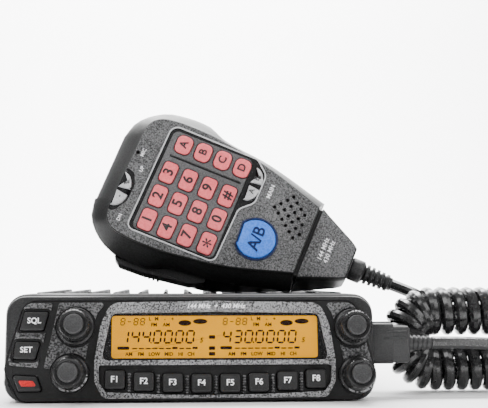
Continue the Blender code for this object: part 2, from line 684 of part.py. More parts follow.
def build_microphone(finishes):
    """Both shells, the tail, every key, the push-to-talk bar and what the shells hold."""
    mic = add_frame("mic_frame", (MIC_X, MIC_Y, mic_height()), mic_rotation().to_euler())
    face = mirrored(FACE_HALF)
    rim = offset(face, MIC_EDGE)
    parting = mirrored(PARTING_HALF)
    bulge = mirrored(BULGE_HALF)
    back = mirrored(BACK_HALF)
    keys = mic_keys()
    parting_back = -PARTING_DEPTH - TOUCH_GAP

    front_shell = add_part("mic_front_shell", loft([
        on_mic(face, 0), on_mic(rim, -MIC_EDGE), on_mic(parting, -PARTING_DEPTH),
        on_mic(offset(parting, -SHELL_WALL), -PARTING_DEPTH),
        on_mic(offset(face, -SHELL_WALL), -SHELL_WALL)]), finishes["mic"], mic)
    boolean(front_shell, [key_cutter(outline, mic_depth, SHELL_WALL, flange)
                          for outline, finish, flange in keys.values()])

    back_shell = add_part("mic_back_shell", loft([
        on_mic(back, -MIC_DEPTH), on_mic(bulge, -BULGE_DEPTH), on_mic(parting, parting_back),
        on_mic(offset(parting, -SHELL_WALL), parting_back),
        on_mic(offset(bulge, -SHELL_WALL), -BULGE_DEPTH),
        on_mic(offset(back, -SHELL_WALL), -MIC_DEPTH + SHELL_WALL)]), finishes["mic"], mic)
    xs = [x for x, y in PTT_OUTLINE]
    slot_low = min(xs) - PTT_GAP
    slot_high = max(xs) + PTT_GAP
    outside, inside = PTT_SLOT
    slot = ((slot_low, outside), (slot_high, outside), (slot_high, inside), (slot_low, inside))
    boolean(back_shell, [loft([on_mic(slot, PTT_DEPTHS[0] - KEY_GAP),
                               on_mic(slot, PTT_DEPTHS[1] + KEY_GAP)])])

    bar = [Vector(point) - Vector(PTT_PIVOT) for point in rounded_polygon(PTT_OUTLINE, PTT_CORNER, 1)]
    low, high = PTT_DEPTHS
    add_part("ptt_bar", loft([on_mic(offset(bar, -KEY_CHAMFER), low),
                              on_mic(bar, low + KEY_CHAMFER), on_mic(bar, high - KEY_CHAMFER),
                              on_mic(offset(bar, -KEY_CHAMFER), high)]),
             finishes["case"], mic, (*PTT_PIVOT, 0))

    for name, (outline, finish, flange) in keys.items():
        centre = sum((Vector(point) for point in outline), Vector((0, 0))) / len(outline)
        local = [Vector(point) - centre for point in outline]
        solid = key_solid(local, mic_depth, MIC_KEY_PROUD, SHELL_WALL + TOUCH_GAP, flange)
        add_part(name, solid, finishes[finish], mic, (centre.x, centre.y, 0))

    tail_root = MIC_SHELL_LENGTH + TOUCH_GAP
    tail_end = tail_root + TAIL_LENGTH
    rings = []
    for x, half, front, rear in zip((tail_root, tail_end), TAIL_HALF_WIDTH, TAIL_FRONT, TAIL_BACK):
        corners = rectangle(2 * half, front - rear, (0, (front + rear) / 2))
        rings.append(across(rounded_polygon(corners, TAIL_CORNER), x))
    add_part("mic_tail", loft(rings), finishes["mic"], mic)

    boot_root = tail_end + TOUCH_GAP
    profile = ((BOOT_ROOT_RADIUS, 0), (BOOT_ROOT_RADIUS, BOOT_ROOT_LENGTH),
               (BOOT_WAIST_RADIUS, BOOT_ROOT_LENGTH + BOOT_STEP), (BOOT_END_RADIUS, BOOT_LENGTH))
    add_part("cord_boot", turned(profile, BOOT_SIDES, across), finishes["rubber"], mic,
             (boot_root, 0, BOOT_Z))

    head_foot = HANG_BUTTON_HEAD - HANG_BUTTON_HEIGHT
    profile = ((HANG_BUTTON_NECK, 0), (HANG_BUTTON_NECK, head_foot),
               (HANG_BUTTON_RADIUS, head_foot),
               (HANG_BUTTON_RADIUS - HANG_BUTTON_CHAMFER, -HANG_BUTTON_HEIGHT))
    add_part("hang_button", turned(profile, HANG_BUTTON_SIDES, on_mic), finishes["steel"], mic,
             (HANG_BUTTON_X, 0, -MIC_DEPTH - TOUCH_GAP))

    add_part("mic_board", loft([on_mic(MIC_BOARD_OUTLINE, MIC_BOARD_TOP - MIC_BOARD_THICKNESS),
                                on_mic(MIC_BOARD_OUTLINE, MIC_BOARD_TOP)]), finishes["board"],
             mic)
    element_top = ELEMENT_OVER_PARTING - PARTING_DEPTH
    profile = ((ELEMENT_RADIUS, element_top - ELEMENT_LENGTH), (ELEMENT_RADIUS, element_top))
    add_part("mic_element", turned(profile, 12, on_mic), finishes["steel"], mic,
             (*ELEMENT_PLACE, 0))


# ---------------------------------------------------------------- cord

def smooth_route(points, spacing):
    """Points at an even spacing along a smooth curve through a route's own points."""
    points = [Vector(point) for point in points]
    ends = [2 * points[0] - points[1]] + points + [2 * points[-1] - points[-2]]
    fine = [points[0]]
    steps = 24
    for before, start, end, after in zip(ends, ends[1:], ends[2:], ends[3:]):
        reach = (end - start).length
        leaving = (end - before).normalized() * reach
        arriving = (after - start).normalized() * reach
        for step in range(1, steps + 1):
            t = step / steps
            fine.append((2 * t ** 3 - 3 * t ** 2 + 1) * start + (t ** 3 - 2 * t ** 2 + t) * leaving
                        + (3 * t ** 2 - 2 * t ** 3) * end + (t ** 3 - t ** 2) * arriving)
    length = sum((b - a).length for a, b in zip(fine, fine[1:]))
    stretch = length / round(length / spacing)
    route = [fine[0]]
    travelled = 0.0
    for a, b in zip(fine, fine[1:]):
        travelled += (b - a).length
        if travelled >= stretch * len(route) - 1e-6:
            route.append(b)
    route[-1] = fine[-1]
    return route


def add_tube(name, points, radius, finish, resolution):
    """A round tube with filled ends along points in world millimetres."""
    curve = bpy.data.curves.new(name, "CURVE")
    curve.dimensions = "3D"
    curve.bevel_depth = radius * MM
    curve.bevel_resolution = resolution
    curve.use_fill_caps = True
    spline = curve.splines.new("POLY")
    spline.points.add(len(points) - 1)
    for target, point in zip(spline.points, points):
        target.co = (*(Vector(point) * MM), 1.0)
    curve.materials.append(finish)
    tube = bpy.data.objects.new(name, curve)
    bpy.context.collection.objects.link(tube)


def build_plug(finishes):
    """The modular plug, its hood and its strain relief, as one moulded piece."""
    side = RADIO_WIDTH / 2 + TOUCH_GAP
    depth, height = HOOD_SIZE
    tongue = rounded_polygon(rectangle(TONGUE_SIZE[1], TONGUE_SIZE[2]), TONGUE_CORNER, 1)
    hood = rounded_polygon(rectangle(depth, height), HOOD_CORNER, 1)
    relief = rounded_polygon(rectangle(2 * RELIEF_RADIUS, 2 * RELIEF_RADIUS), RELIEF_CORNER, 1)
    rings = [across(tongue, -TONGUE_SIZE[0]), across(tongue, 0), across(hood, 0),
             across(hood, HOOD_LENGTH - HOOD_CHAMFER),
             across(offset(hood, -HOOD_CHAMFER), HOOD_LENGTH),
             across(relief, HOOD_LENGTH), across(relief, HOOD_LENGTH + RELIEF_LENGTH)]
    add_part("mic_plug", loft(rings), finishes["rubber"], None, (side, JACK_Y, JACK_Z))
    return Vector((side + HOOD_LENGTH + RELIEF_LENGTH + TOUCH_GAP, JACK_Y, JACK_Z))


def build_cord(finishes):
    """The cord: a lead from the boot, the curly stretch with its bend, and a lead to the plug."""
    stand = Matrix.Translation((MIC_X, MIC_Y, mic_height())) @ mic_rotation()
    boot_end = MIC_SHELL_LENGTH + TAIL_LENGTH + BOOT_LENGTH + 3 * TOUCH_GAP
    start = stand @ Vector((boot_end, 0, BOOT_Z))
    onward = stand @ Vector((boot_end + CORD_STRAIGHT_START, 0, BOOT_Z))
    curl_face = CURL_END_X + TOUCH_GAP
    mic_lead = [start, onward, *MIC_LEAD_ROUTE, (curl_face + CURL_APPROACH, CURL_Y, CURL_HIGH_Z),
                (curl_face, CURL_Y, CURL_HIGH_Z)]
    add_tube("cord_mic_lead", smooth_route(mic_lead, CORD_POINT_SPACING), CORD_RADIUS,
             finishes["rubber"], 2)

    plug_end = build_plug(finishes)
    plug_lead = [plug_end, *PLUG_LEAD_ROUTE, (curl_face + CURL_APPROACH, CURL_Y, CURL_LOW_Z),
                 (curl_face, CURL_Y, CURL_LOW_Z)]
    add_tube("cord_plug_lead", smooth_route(plug_lead, CORD_POINT_SPACING), CORD_RADIUS,
             finishes["rubber"], 2)

    bend_radius = (CURL_HIGH_Z - CURL_LOW_Z) / 2
    middle = (CURL_HIGH_Z + CURL_LOW_Z) / 2
    points = [(CURL_END_X, CURL_Y, CURL_HIGH_Z)]
    for step in range(CURL_BEND_STEPS + 1):
        angle = math.pi / 2 + math.pi * step / CURL_BEND_STEPS
        points.append((CURL_BEND_X + bend_radius * math.cos(angle), CURL_Y,
                       middle + bend_radius * math.sin(angle)))
    points.append((CURL_END_X, CURL_Y, CURL_LOW_Z))
    add_tube("cord_curl", points, CURL_RADIUS, finishes["rubber"], 3)


def main():
    """Clear the scene and build the whole object."""
    for old in list(bpy.data.objects):
        bpy.data.objects.remove(old)
    finishes = {
        "cast": material("cast_aluminium_black", (0.03, 0.03, 0.032), 0.55, 0.3),
        "case": material("case_plastic", (0.035, 0.035, 0.037), 0.45),
        "wrinkle": material("wrinkle_plastic", (0.06, 0.06, 0.062), 0.6),
        "gloss": material("gloss_black_plastic", (0.015, 0.015, 0.016), 0.25),
        "key": material("key_rubber", (0.05, 0.05, 0.052), 0.55),
        "lens": material("display_window", (0.6, 0.6, 0.6), 0.1),
        "amber": material("amber_display", (0.95, 0.45, 0.02), 0.4),
        "board": material("circuit_board", (0.02, 0.16, 0.06), 0.5),
        "steel": material("bright_steel", (0.6, 0.6, 0.6), 0.3, 1.0),
        "chrome": material("plated_brass", (0.75, 0.72, 0.65), 0.2, 1.0),
        "mic": material("mic_plastic", (0.03, 0.03, 0.032), 0.45),
        "pink": material("pink_key", (0.95, 0.45, 0.45), 0.4),
        "blue": material("blue_key", (0.35, 0.55, 0.95), 0.35),
        "pale": material("pale_grey_key", (0.6, 0.6, 0.6), 0.4),
        "rubber": material("black_rubber", (0.02, 0.02, 0.02), 0.4)}
    build_chassis(finishes)
    build_head(finishes)
    build_microphone(finishes)
    build_cord(finishes)


main()
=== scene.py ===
"""Looks of a mobile transceiver with a keypad hand microphone on a curly cord.

Sizes are in millimetres. Each piece is modelled flat, in the frame of the face that it belongs to,
x and y in that face and z out of it, and is then set in its place in the world.
"""
import json
import math

import bpy
from mathutils import Matrix, Vector

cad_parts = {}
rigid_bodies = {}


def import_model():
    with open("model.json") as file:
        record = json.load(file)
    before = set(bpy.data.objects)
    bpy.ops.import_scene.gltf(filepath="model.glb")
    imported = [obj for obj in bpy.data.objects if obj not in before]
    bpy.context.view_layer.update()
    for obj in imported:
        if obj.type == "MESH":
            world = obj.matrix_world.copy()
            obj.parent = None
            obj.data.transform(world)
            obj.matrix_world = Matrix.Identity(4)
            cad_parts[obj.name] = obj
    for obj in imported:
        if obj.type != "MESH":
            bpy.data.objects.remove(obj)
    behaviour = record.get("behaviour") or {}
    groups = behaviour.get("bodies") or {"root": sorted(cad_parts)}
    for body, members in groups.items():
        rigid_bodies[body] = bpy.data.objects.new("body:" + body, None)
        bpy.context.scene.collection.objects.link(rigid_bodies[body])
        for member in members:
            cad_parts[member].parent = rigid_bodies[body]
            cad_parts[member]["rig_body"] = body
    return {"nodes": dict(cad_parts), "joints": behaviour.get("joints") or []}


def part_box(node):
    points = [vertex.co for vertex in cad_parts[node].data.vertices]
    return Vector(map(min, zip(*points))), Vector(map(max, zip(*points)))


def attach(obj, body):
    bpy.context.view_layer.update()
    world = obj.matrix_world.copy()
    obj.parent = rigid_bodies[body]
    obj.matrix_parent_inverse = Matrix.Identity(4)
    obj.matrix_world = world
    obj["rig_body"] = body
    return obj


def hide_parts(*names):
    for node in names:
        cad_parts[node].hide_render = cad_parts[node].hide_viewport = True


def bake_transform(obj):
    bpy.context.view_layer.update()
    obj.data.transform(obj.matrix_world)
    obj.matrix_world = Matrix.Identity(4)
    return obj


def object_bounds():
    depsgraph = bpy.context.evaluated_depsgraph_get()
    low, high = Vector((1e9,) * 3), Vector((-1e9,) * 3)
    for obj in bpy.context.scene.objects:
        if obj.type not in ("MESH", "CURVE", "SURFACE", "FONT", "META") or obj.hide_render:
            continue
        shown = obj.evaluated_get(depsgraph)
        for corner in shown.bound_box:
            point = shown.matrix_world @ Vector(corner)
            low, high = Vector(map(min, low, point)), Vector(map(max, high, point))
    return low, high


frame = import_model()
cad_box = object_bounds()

MM = 0.001
WORLD = Matrix.Identity(4)

# Radio head
HEAD_WIDTH = 145.0
HEAD_TOP = 41.7
HEAD_FOOT = 0.3
HEAD_BACK_Y = -60.0
HEAD_CORNER = 8.0
HEAD_WALL = 2.0
FACE_BOTTOM = 0.9
PLATE_THICKNESS = 3.0
PLATE_CORNERS = ((-65.8, 0.9), (65.8, 0.9), (72.1, 13.0),
                 (64.5, 39.3), (-64.5, 39.3), (-72.1, 13.0))
PLATE_RADII = (4.5, 4.5, 2.5, 5.5, 5.5, 2.5)
PLATE_GAP = 0.3
HOLE_GAP = 0.35
SHAFT_HOLE_RADIUS = 3.4
WINDOW_OPENING = (84.7, 20.7)
WINDOW_OPENING_Y = 25.3

# Front edge of the head case: how far each ring is drawn in and set back
CASE_EDGE = ((0.0, 1.6), (0.25, 0.75), (0.8, 0.2), (1.5, 0.0))
# Rim round the face plate: how far each ring is drawn in, and its level
RIM_INSET = 0.5
RIM_EDGE = ((0.0, -PLATE_THICKNESS - 0.25), (0.0, -2.2), (0.5, -1.2), (1.6, -0.7))

# Textured pads on the face, and how far they stand out of it
PAD_FOOT = 0.02
PAD_HEIGHT = 0.7
PAD_EDGE = 0.25
PAD_HOLE_RADIUS = 8.0
KEY_PAD_CORNERS = ((-70.9, 14.6), (-59.3, 13.6), (-53.9, 38.6), (-64.6, 38.4))
KEY_PAD_RADII = (1.6, 0.6, 0.8, 3.6)
LEFT_PAD_CORNERS = ((-56.8, 13.4), (-41.6, 12.9), (-39.4, 25.6),
                    (-36.6, 34.6), (-33.2, 38.7), (-51.4, 38.7))
LEFT_PAD_RADII = (0.6, 0.6, 2.0, 4.0, 1.0, 0.8)
RIGHT_PAD_CORNERS = ((60.0, 12.9), (71.4, 13.3), (64.2, 38.6),
                     (52.6, 38.6), (55.2, 34.8), (57.8, 26.0))
RIGHT_PAD_RADII = (0.6, 0.8, 4.0, 1.0, 4.0, 2.0)
KEY_SURROUND = 1.3

# Display panel
PANEL_X = 9.4
PANEL_FRONT = 2.0
PANEL_BACK = 0.3
PANEL_HALF = ((43.4, 1.7), (46.6, 8.0), (46.8, 16.2), (44.6, 30.0), (41.0, 38.6), (0.0, 39.2))
PANEL_RADII = (3.5, 3.0, 4.0, 6.0, 6.0, 60.0)
PANEL_EDGE = 0.55
WINDOW_HALF = ((43.4, 16.2), (43.6, 19.0), (40.4, 34.4), (0.0, 35.0))
WINDOW_RADII = (1.8, 1.5, 2.6, 60.0)
KEY_TRENCH_HALF = ((42.4, 4.2), (44.8, 7.6), (45.2, 14.4))
KEY_TRENCH_RADII = (1.2, 4.0, 1.5, 1.0)
KEY_TRENCH_FLOOR = 2.9
KEY_TRENCH_RISE = 1.3
KEY_TRENCH_STEPS = 5
KEY_TRENCH_SAG = 1.5
PANE_GAP = 0.3
PANE_LEVELS = (0.75, 1.35)
BED_FOOT = -0.2
LCD_SIZE = (80.4, 16.4)
LCD_PLACE = (9.2, 25.3)
LCD_CORNER = 1.2
LCD_LEVEL = 0.42

# What the display shows, each half from its own left end
DISPLAY_HALVES = (("left", -27.6, "144.0000"), ("right", 12.3, "430.0000"))
MARK_RISE = 0.05
FREQUENCY_DIGIT = (2.7, 4.6)
FREQUENCY_PITCH = 4.25
FREQUENCY_Y = 23.0
CHANNEL_DIGIT = (1.5, 2.5)
CHANNEL_PITCH = 2.55
CHANNEL_Y = 30.0
CHANNEL = "8-88"
METER_BARS = 10
METER_BAR_WIDTH = 2.0
METER_BAR_PITCH = 2.6
METER_HEIGHTS = (0.45, 0.8)
METER_PLACE = (5.6, 20.6)
METER_END_SIZE = (4.6, 1.2)
METER_END_PLACE = (1.2, 21.0)
LOZENGES = ((25.0, 30.7, 5.0, 2.2), (31.0, 31.3, 5.6, 2.0))
SMALL_MARKS = (("FM", 13.0, 30.0), ("AM", 17.8, 30.0), ("-", 17.2, 32.2), ("+", 20.2, 32.2),
               ("L", 11.4, 32.3), ("M", 14.0, 32.3), ("AM", 3.4, 18.6), ("FM", 8.0, 18.6),
               ("LOW", 13.2, 18.6), ("MID", 18.8, 18.6), ("HI", 23.4, 18.6), ("CH", 27.4, 18.6))
SMALL_MARK_SIZE = 1.9
STEP_MARK_PLACE = (31.4, 23.9)
STEP_MARK_SIZE = 2.6
SQUARE_SIZE = (2.4, 1.4)
SQUARE_X = PANEL_X - 1.4
SQUARE_LEVELS = (25.2, 20.9, 18.7)
TITLE_Y = 37.1
TITLE_SIZE = 2.5

# Keys of the radio
FLANGE_LEVELS = (-4.3, -3.3)
FRONT_KEY_SIZE = (7.9, 7.1)
FRONT_KEY_PITCH = 11.09
FRONT_KEY_LOW_Y = 7.3
FRONT_KEY_TOP = 3.4
FRONT_KEY_CORNER = 1.1
FRONT_KEY_EDGE = 0.7
FRONT_KEY_DISH = -0.12
FRONT_LEGEND_SIZE = 3.3
BEAD_SIZE = (1.2, 0.8)
BEAD_PITCH = 1.05
BEAD_DROP = 0.6
BEAD_TOP = 1.5
FRONT_KEYS = ("low_key_left", "vm_key_left", "home_key_left", "scan_key_left",
              "low_key_right", "vm_key_right", "home_key_right", "scan_key_right")
SIDE_KEY_TOP = 1.3
SIDE_KEY_CORNER = 0.9
SIDE_KEY_EDGE = 0.5
SIDE_KEY_DISH = 0.08
SIDE_LEGEND_SIZE = 3.0
SIDE_LEGENDS = {"squelch_key": ("SQL", (-60.8, 31.6)), "set_key": ("SET", (-63.5, 20.4))}
POWER_LIGHT_SHARE = (0.62, 0.36)
POWER_LIGHT_RISE = 0.14
SIDE_KEYS = {
    "squelch_key": ((-66.5, 27.9), (-57.1, 27.9), (-55.2, 35.2), (-64.6, 35.2)),
    "set_key": ((-68.6, 17.0), (-60.0, 16.8), (-58.2, 23.5), (-67.6, 23.7)),
    "power_key": ((-66.2, 4.6), (-57.0, 4.6), (-59.3, 10.3), (-68.6, 10.9))}
SIDE_RIDGE = ((-67.0, 25.2), (-58.6, 25.2), (-58.2, 26.8), (-66.6, 26.8))

# Knobs of the radio
KNOBS = {"tuning_knob_left": (-44.8, 29.2), "volume_knob_left": (-46.6, 11.2),
         "tuning_knob_right": (63.2, 28.6), "volume_knob_right": (64.6, 10.2)}
KNOB_SIDES = 96
GRIP_SIDES = 4
# Rings of a knob from its foot up: radius, level and how deep the grip's ripple is
KNOB_RINGS = ((2.6, -5.6, 0.0), (2.6, 0.35, 0.0), (7.05, 0.35, 0.0), (7.3, 0.7, 0.0),
              (7.3, 2.9, 0.0), (7.0, 3.5, 0.0), (6.3, 3.8, 0.0), (6.15, 4.2, 0.10),
              (5.95, 8.0, 0.10), (5.75, 10.9, 0.10), (5.55, 11.6, 0.0), (5.1, 11.95, 0.0),
              (4.5, 11.8, 0.0), (4.0, 11.7, 0.0), (3.9, 12.0, 0.0))
KNOB_CAP_RINGS = ((3.8, 11.5, 0.0), (3.8, 12.7, 0.0), (3.6, 13.15, 0.0), (3.2, 13.35, 0.0),
                  (2.9, 13.3, 0.0), (1.6, 13.2, 0.0))
# Painted highlights on the volume knobs' skirts: inner and outer radius, levels, and arcs in degrees
KNOB_HIGHLIGHT_RADII = (6.35, 7.0)
KNOB_HIGHLIGHT_LEVELS = (3.3, 3.95)
KNOB_HIGHLIGHT_SPANS = ((-128, -104), (-98, -92), (-86, -52), (-46, -40), (-34, -14), (-8, -4))

# CAD nodes that are copied with rounded edges: finish and width of the edge
REFINED_NODES = (("heatsink_chassis", "cast_black", 0.55), ("bottom_cover", "cover_black", 0.3),
                 ("mic_jack", "case_satin", 0.2), ("hang_button", "steel", 0.5),
                 ("antenna_socket", "plated", 0.3))
# CAD nodes that stay as they are, and their finishes
INNER_FINISHES = {"main_board": "board_green", "control_board": "board_green",
                  "speaker": "steel", "lcd_module": "amber_glass",
                  "mic_board": "board_green", "mic_element": "steel"}

# Screws of the chassis: their radius and places, and the nut of the antenna socket
SIDE_SCREW_RADIUS = 2.6
SIDE_SCREW_Y = (-45.0, 0.0, 70.0)
SIDE_SCREW_Z = 22.0
REAR_SCREW_RADIUS = 2.4
REAR_SCREW_INSET = 8.0
REAR_SCREW_Z = (9.0, 29.0)
NUT_RADIUS = 9.4
NUT_BORE = 8.05
NUT_LEVELS = (2.0, 5.2)

# Plug in the side of the head, and its cord's route
PLUG_PLACE = (72.8, -71.0, 21.6)
PLUG_TONGUE = (11.0, 8.0, 11.7)
PLUG_HOOD = (16.0, 11.0, 16.4)
HOOD_CORNER = 1.5
HOOD_STEP = (0.8, 1.6)
HOOD_LINE = (0.6, 0.7)
HOOD_LINE_SHARES = (0.30, 0.14)
LATCH_SIZE = (5.0, 1.4)
RELIEF_LENGTH = 9.5
RELIEF_RADIUS = 3.3
RELIEF_RIBS = 5
RELIEF_TAPER = 0.12
RELIEF_GROOVE = 0.55

# Cord: the same route as in the CAD, and the helix that fills the curly stretch
CORD_RADIUS = 2.6
HELIX_RADIUS = 7.8
HELIX_PITCH = 5.7
HELIX_RAMP = 11.0
HELIX_RAMP_PITCH = 17.0
HELIX_END_MARGIN = 1.2
HELIX_BEND_PITCH = 3.6
TURN_POINTS = 20
ROUTE_SPACING = 5.5
LEAD_STRAIGHT = 12.0
CURL_Y = -53.0
CURL_BEND_X = 103.0
CURL_END_X = 180.9
CURL_LOW_Z = 10.8
CURL_HIGH_Z = 34.0
MIC_LEAD_ROUTE = ((115.0, -36.5, 33.0), (140.0, -35.0, 27.0), (170.0, -35.0, 26.0),
                  (194.0, -36.5, 29.0), (206.0, -43.0, 32.5), (202.0, -51.0, 34.0),
                  (189.9, -53.0, 34.0), (180.9, -53.0, 34.0))
PLUG_LEAD_ROUTE = ((98.6, -71.0, 21.6), (112.0, -71.5, 21.5), (132.0, -71.5, 20.5),
                   (162.0, -71.0, 18.0), (190.0, -69.0, 14.0), (206.0, -62.5, 11.6),
                   (204.0, -55.0, 10.9), (189.9, -53.0, 10.8), (180.9, -53.0, 10.8))

# Microphone: half outlines from the top end to the tail
FACE_HALF = ((8.4, 15.8), (9.0, 22.1), (11.6, 26.2), (17.9, 28.4),
             (32.6, 28.8), (44.1, 27.7), (65.1, 24.2), (92.4, 15.8))
PARTING_HALF = ((0.0, 15.8), (2.1, 24.2), (8.4, 31.0), (16.8, 34.9),
                (32.6, 35.7), (42.0, 32.1), (65.1, 29.0), (94.0, 21.4))
BULGE_HALF = ((1.1, 15.8), (3.2, 23.6), (9.5, 29.9), (16.8, 33.6),
              (32.6, 34.9), (44.1, 34.0), (59.9, 32.9), (94.0, 18.4))
BACK_HALF = ((13.7, 6.3), (14.7, 11.6), (18.9, 16.8), (25.2, 19.9),
             (35.7, 21.0), (48.3, 20.4), (63.0, 17.9), (89.2, 11.0))
PARTING_DEPTH = 9.5
PARTING_GAP = 0.3
BULGE_DEPTH = 18.9
MIC_DEPTH = 31.5
SHELL_WALL = 2.3
TAIL_PLACE = 94.3
TAIL_LENGTH = 20.4
TAIL_HALF_WIDTH = (17.6, 8.4)
TAIL_FRONT = (-2.1, -6.3)
TAIL_BACK = (-26.2, -22.1)
BOOT_PLACE = 115.0
BOOT_LENGTH = 18.9
BOOT_Z = -14.2
BOOT_COLLAR = ((0.0, 4.6), (0.4, 5.1), (5.4, 5.1), (6.0, 4.3))
BOOT_RIBS = 5
BOOT_FIRST_RIB = 7.2
BOOT_RIB_PITCH = 2.35
BOOT_RIB_RADIUS = 4.35
BOOT_RIB_TAPER = 0.16
BOOT_GROOVE_RADIUS = 2.95
BOOT_TIP = (BOOT_LENGTH + 0.45, 2.85)
LEAD_START = 134.2
TAIL_STEPS = 6
TAIL_CORNER = 2.7
TAIL_EDGE = 0.8
TAIL_MARK = "144 MHz\n430 MHz"
TAIL_MARK_SIZE = 2.9
TAIL_MARK_ALONG = 8.0
NECK_SIZE = (34.4, 23.2)
NECK_LEVEL = -14.15

# Microphone's keypad, buttons, speaker holes and the words on its face
MIC_KEY_SIZE = (6.4, 9.6)
MEMORY_KEY_SIZE = (7.1, 8.4)
MIC_KEY_PITCH = (9.2, 11.7)
MIC_KEY_FIRST = (26.1, -18.5)
MEMORY_KEY_FIRST = (27.2, 19.4)
MIC_KEY_TOP = 1.2
MIC_KEY_CORNER = 1.7
MEMORY_KEY_CORNER = 2.6
MIC_KEY_LEGENDS = {"star": "*", "hash": "#", "pa": "A", "pb": "B", "pc": "C", "pd": "D"}
DIGIT_SIZE = 6.2
LETTER_SIZE = 4.8
STAR_SIZE = 9.2
STAR_SHIFT = 1.9
MIC_FLANGE_LEVELS = (-3.6, -2.6)
KEY_WELL_DEPTH = 5.0
MIC_KEYS = (("1", "2", "3"), ("4", "5", "6"), ("7", "8", "9"), ("star", "0", "hash"))
MEMORY_KEYS = ("pa", "pb", "pc", "pd")
TRIM_CORNERS = ((18.7, -25.3), (59.9, -25.3), (60.6, 1.2), (66.2, 6.6),
                (66.2, 20.6), (59.8, 26.3), (18.7, 26.9))
TRIM_RADII = (3.4, 3.4, 4.0, 5.0, 5.0, 3.0, 4.2)
TRIM_WIDTH = 0.55
KEYPAD_PLATE = ((20.8, -23.9), (58.4, -23.9), (58.4, 24.7), (20.8, 24.7))
KEYPAD_PLATE_CORNER = 2.6
SEPARATOR = ((23.2, 12.2), (57.0, 12.2), (57.0, 13.3), (23.2, 13.3))
BAND_KEY_PLACE = (72.3, -8.4)
BAND_KEY_RADIUS = 8.6
BAND_KEY_FLAT = 7.2
MOON_DEPTH = 5.2
MOON_LENGTH = 7.2
MOON_GAP = 0.75
MOON_STEPS = 12
MOON_START = 6
MOON_CLEARANCE = 0.45
MAIN_KEYS_PLACE = (63.2, 14.1)
STEP_KEYS_PLACE = (11.3, -10.3)
MOON_KEYS = (("main_key_a", -1, MAIN_KEYS_PLACE, "A"), ("main_key_b", 1, MAIN_KEYS_PLACE, "B"),
             ("down_key", -1, STEP_KEYS_PLACE, "-"), ("up_key", 1, STEP_KEYS_PLACE, "+"))
STEP_WELL_CORNERS = ((8.5, -20.5), (11.0, -20.0), (14.6, -14.0),
                     (14.8, -6.0), (12.4, -0.8), (8.5, 0.2))
STEP_WELL_RADII = (0.6, 2.0, 5.0, 5.0, 2.5, 0.6)
FACE_WORDS = (("mic_mark", "MIC", (12.2, 9.4), 2.3), ("up_mark", "UP", (14.6, 2.0), 2.2),
              ("down_mark", "DN", (14.6, -22.0), 2.2), ("main_mark", "MAIN", (70.4, 14.4), 2.7))
GRILLE_FIRST = (74.5, 8.5)
GRILLE_STEP = (2.03, 2.53)
GRILLE_ROW_STEP = (2.48, -2.02)
GRILLE_ROWS = (4, 4, 4, 4, 3, 2)
GRILLE_HOLE_RADIUS = 0.85
MIC_HOLE_RADIUS = 0.9
MIC_HOLE_PLACE = (10.0, 8.5)
MIC_HOLE_DEPTH = 1.6

# Push-to-talk bar with its grip ribs, and the screws in the microphone's back
PTT_OUTLINE = ((18.1, -36.3), (21.0, -38.4), (31.5, -38.0), (52.5, -34.9),
               (58.4, -31.9), (58.4, -29.0), (18.1, -29.0))
PTT_DEPTHS = (-18.3, -10.9)
PTT_SLOT_GAP = 0.35
GRIP_RIBS = 9
GRIP_RIB_FIRST = (23.0, -38.26)
GRIP_RIB_PITCH = 2.0
GRIP_RIB_SLOPE = 0.045
BACK_SCREW_RADIUS = 2.2
BACK_SCREWS = ((27.0, 14.0), (27.0, -14.0), (76.0, 8.5), (76.0, -8.5))

# Camera: place, tilt and turn in degrees, and lens
CAMERA_PLACE = (-8.5, -520.2, 47.26)
CAMERA_TILT = 93.933
CAMERA_TURN = -3.831
CAMERA_LENS = 81.43
SENSOR_WIDTH = 36.0

# Studio: the floor, its backdrop, and the softboxes as place, target, size and power in watts
FLOOR_HALF_WIDTH = 2600.0
FLOOR_FRONT_Y = -2500.0
FLOOR_BACK_Y = 1100.0
BACKDROP_RADIUS = 500.0
BACKDROP_STEPS = 8
BACKDROP_TOP = 2500.0
SOFTBOXES = (((-350, -500, 620), (20, -40, 40), 420, 4),
             ((420, -420, 420), (40, -40, 40), 380, 2),
             ((0, 320, 700), (0, 0, 60), 700, 4),
             ((0, 700, 1300), (0, 1600, 300), 1400, 190))
SURROUND_STRENGTH = 0.50


# ---------------------------------------------------------------- outlines

def rounded(corners, radii, steps=5):
    """An anticlockwise outline whose corners, outward and inward, are arcs."""
    outline = []
    for index, corner in enumerate(corners):
        corner = Vector(corner)
        radius = radii if isinstance(radii, float) else radii[index]
        before = (Vector(corners[index - 1]) - corner).normalized()
        after = (Vector(corners[(index + 1) % len(corners)]) - corner).normalized()
        half_angle = before.angle(after) / 2
        centre = corner + (before + after).normalized() * radius / math.sin(half_angle)
        start = corner + before * radius / math.tan(half_angle) - centre
        end = corner + after * radius / math.tan(half_angle) - centre
        sweep = math.atan2(start.x * end.y - start.y * end.x, start.dot(end))
        for step in range(steps + 1):
            outline.append(centre + Matrix.Rotation(sweep * step / steps, 2) @ start)
    return outline


def offset(outline, distance):
    """An anticlockwise outline moved outwards by a distance, or inwards if it is negative."""
    moved = []
    for index, point in enumerate(outline):
        point = Vector(point)
        arriving = (point - Vector(outline[index - 1])).normalized()
        leaving = (Vector(outline[(index + 1) % len(outline)]) - point).normalized()
        side_in = Vector((arriving.y, -arriving.x))
        side_out = Vector((leaving.y, -leaving.x))
        mitre = (side_in + side_out).normalized()
        moved.append(point + mitre * distance / mitre.dot(side_in))
    return moved


def shrunk(outline, share):
    """An outline drawn in towards its middle to a share of its size."""
    middle = sum((Vector(point) for point in outline), Vector((0.0, 0.0))) / len(outline)
    return [middle + (Vector(point) - middle) * share for point in outline]


def rectangle(size, centre=(0.0, 0.0)):
    """The corners of a rectangle, anticlockwise."""
    half_x, half_y = size[0] / 2, size[1] / 2
    x, y = centre
    return ((x - half_x, y - half_y), (x + half_x, y - half_y),
            (x + half_x, y + half_y), (x - half_x, y + half_y))


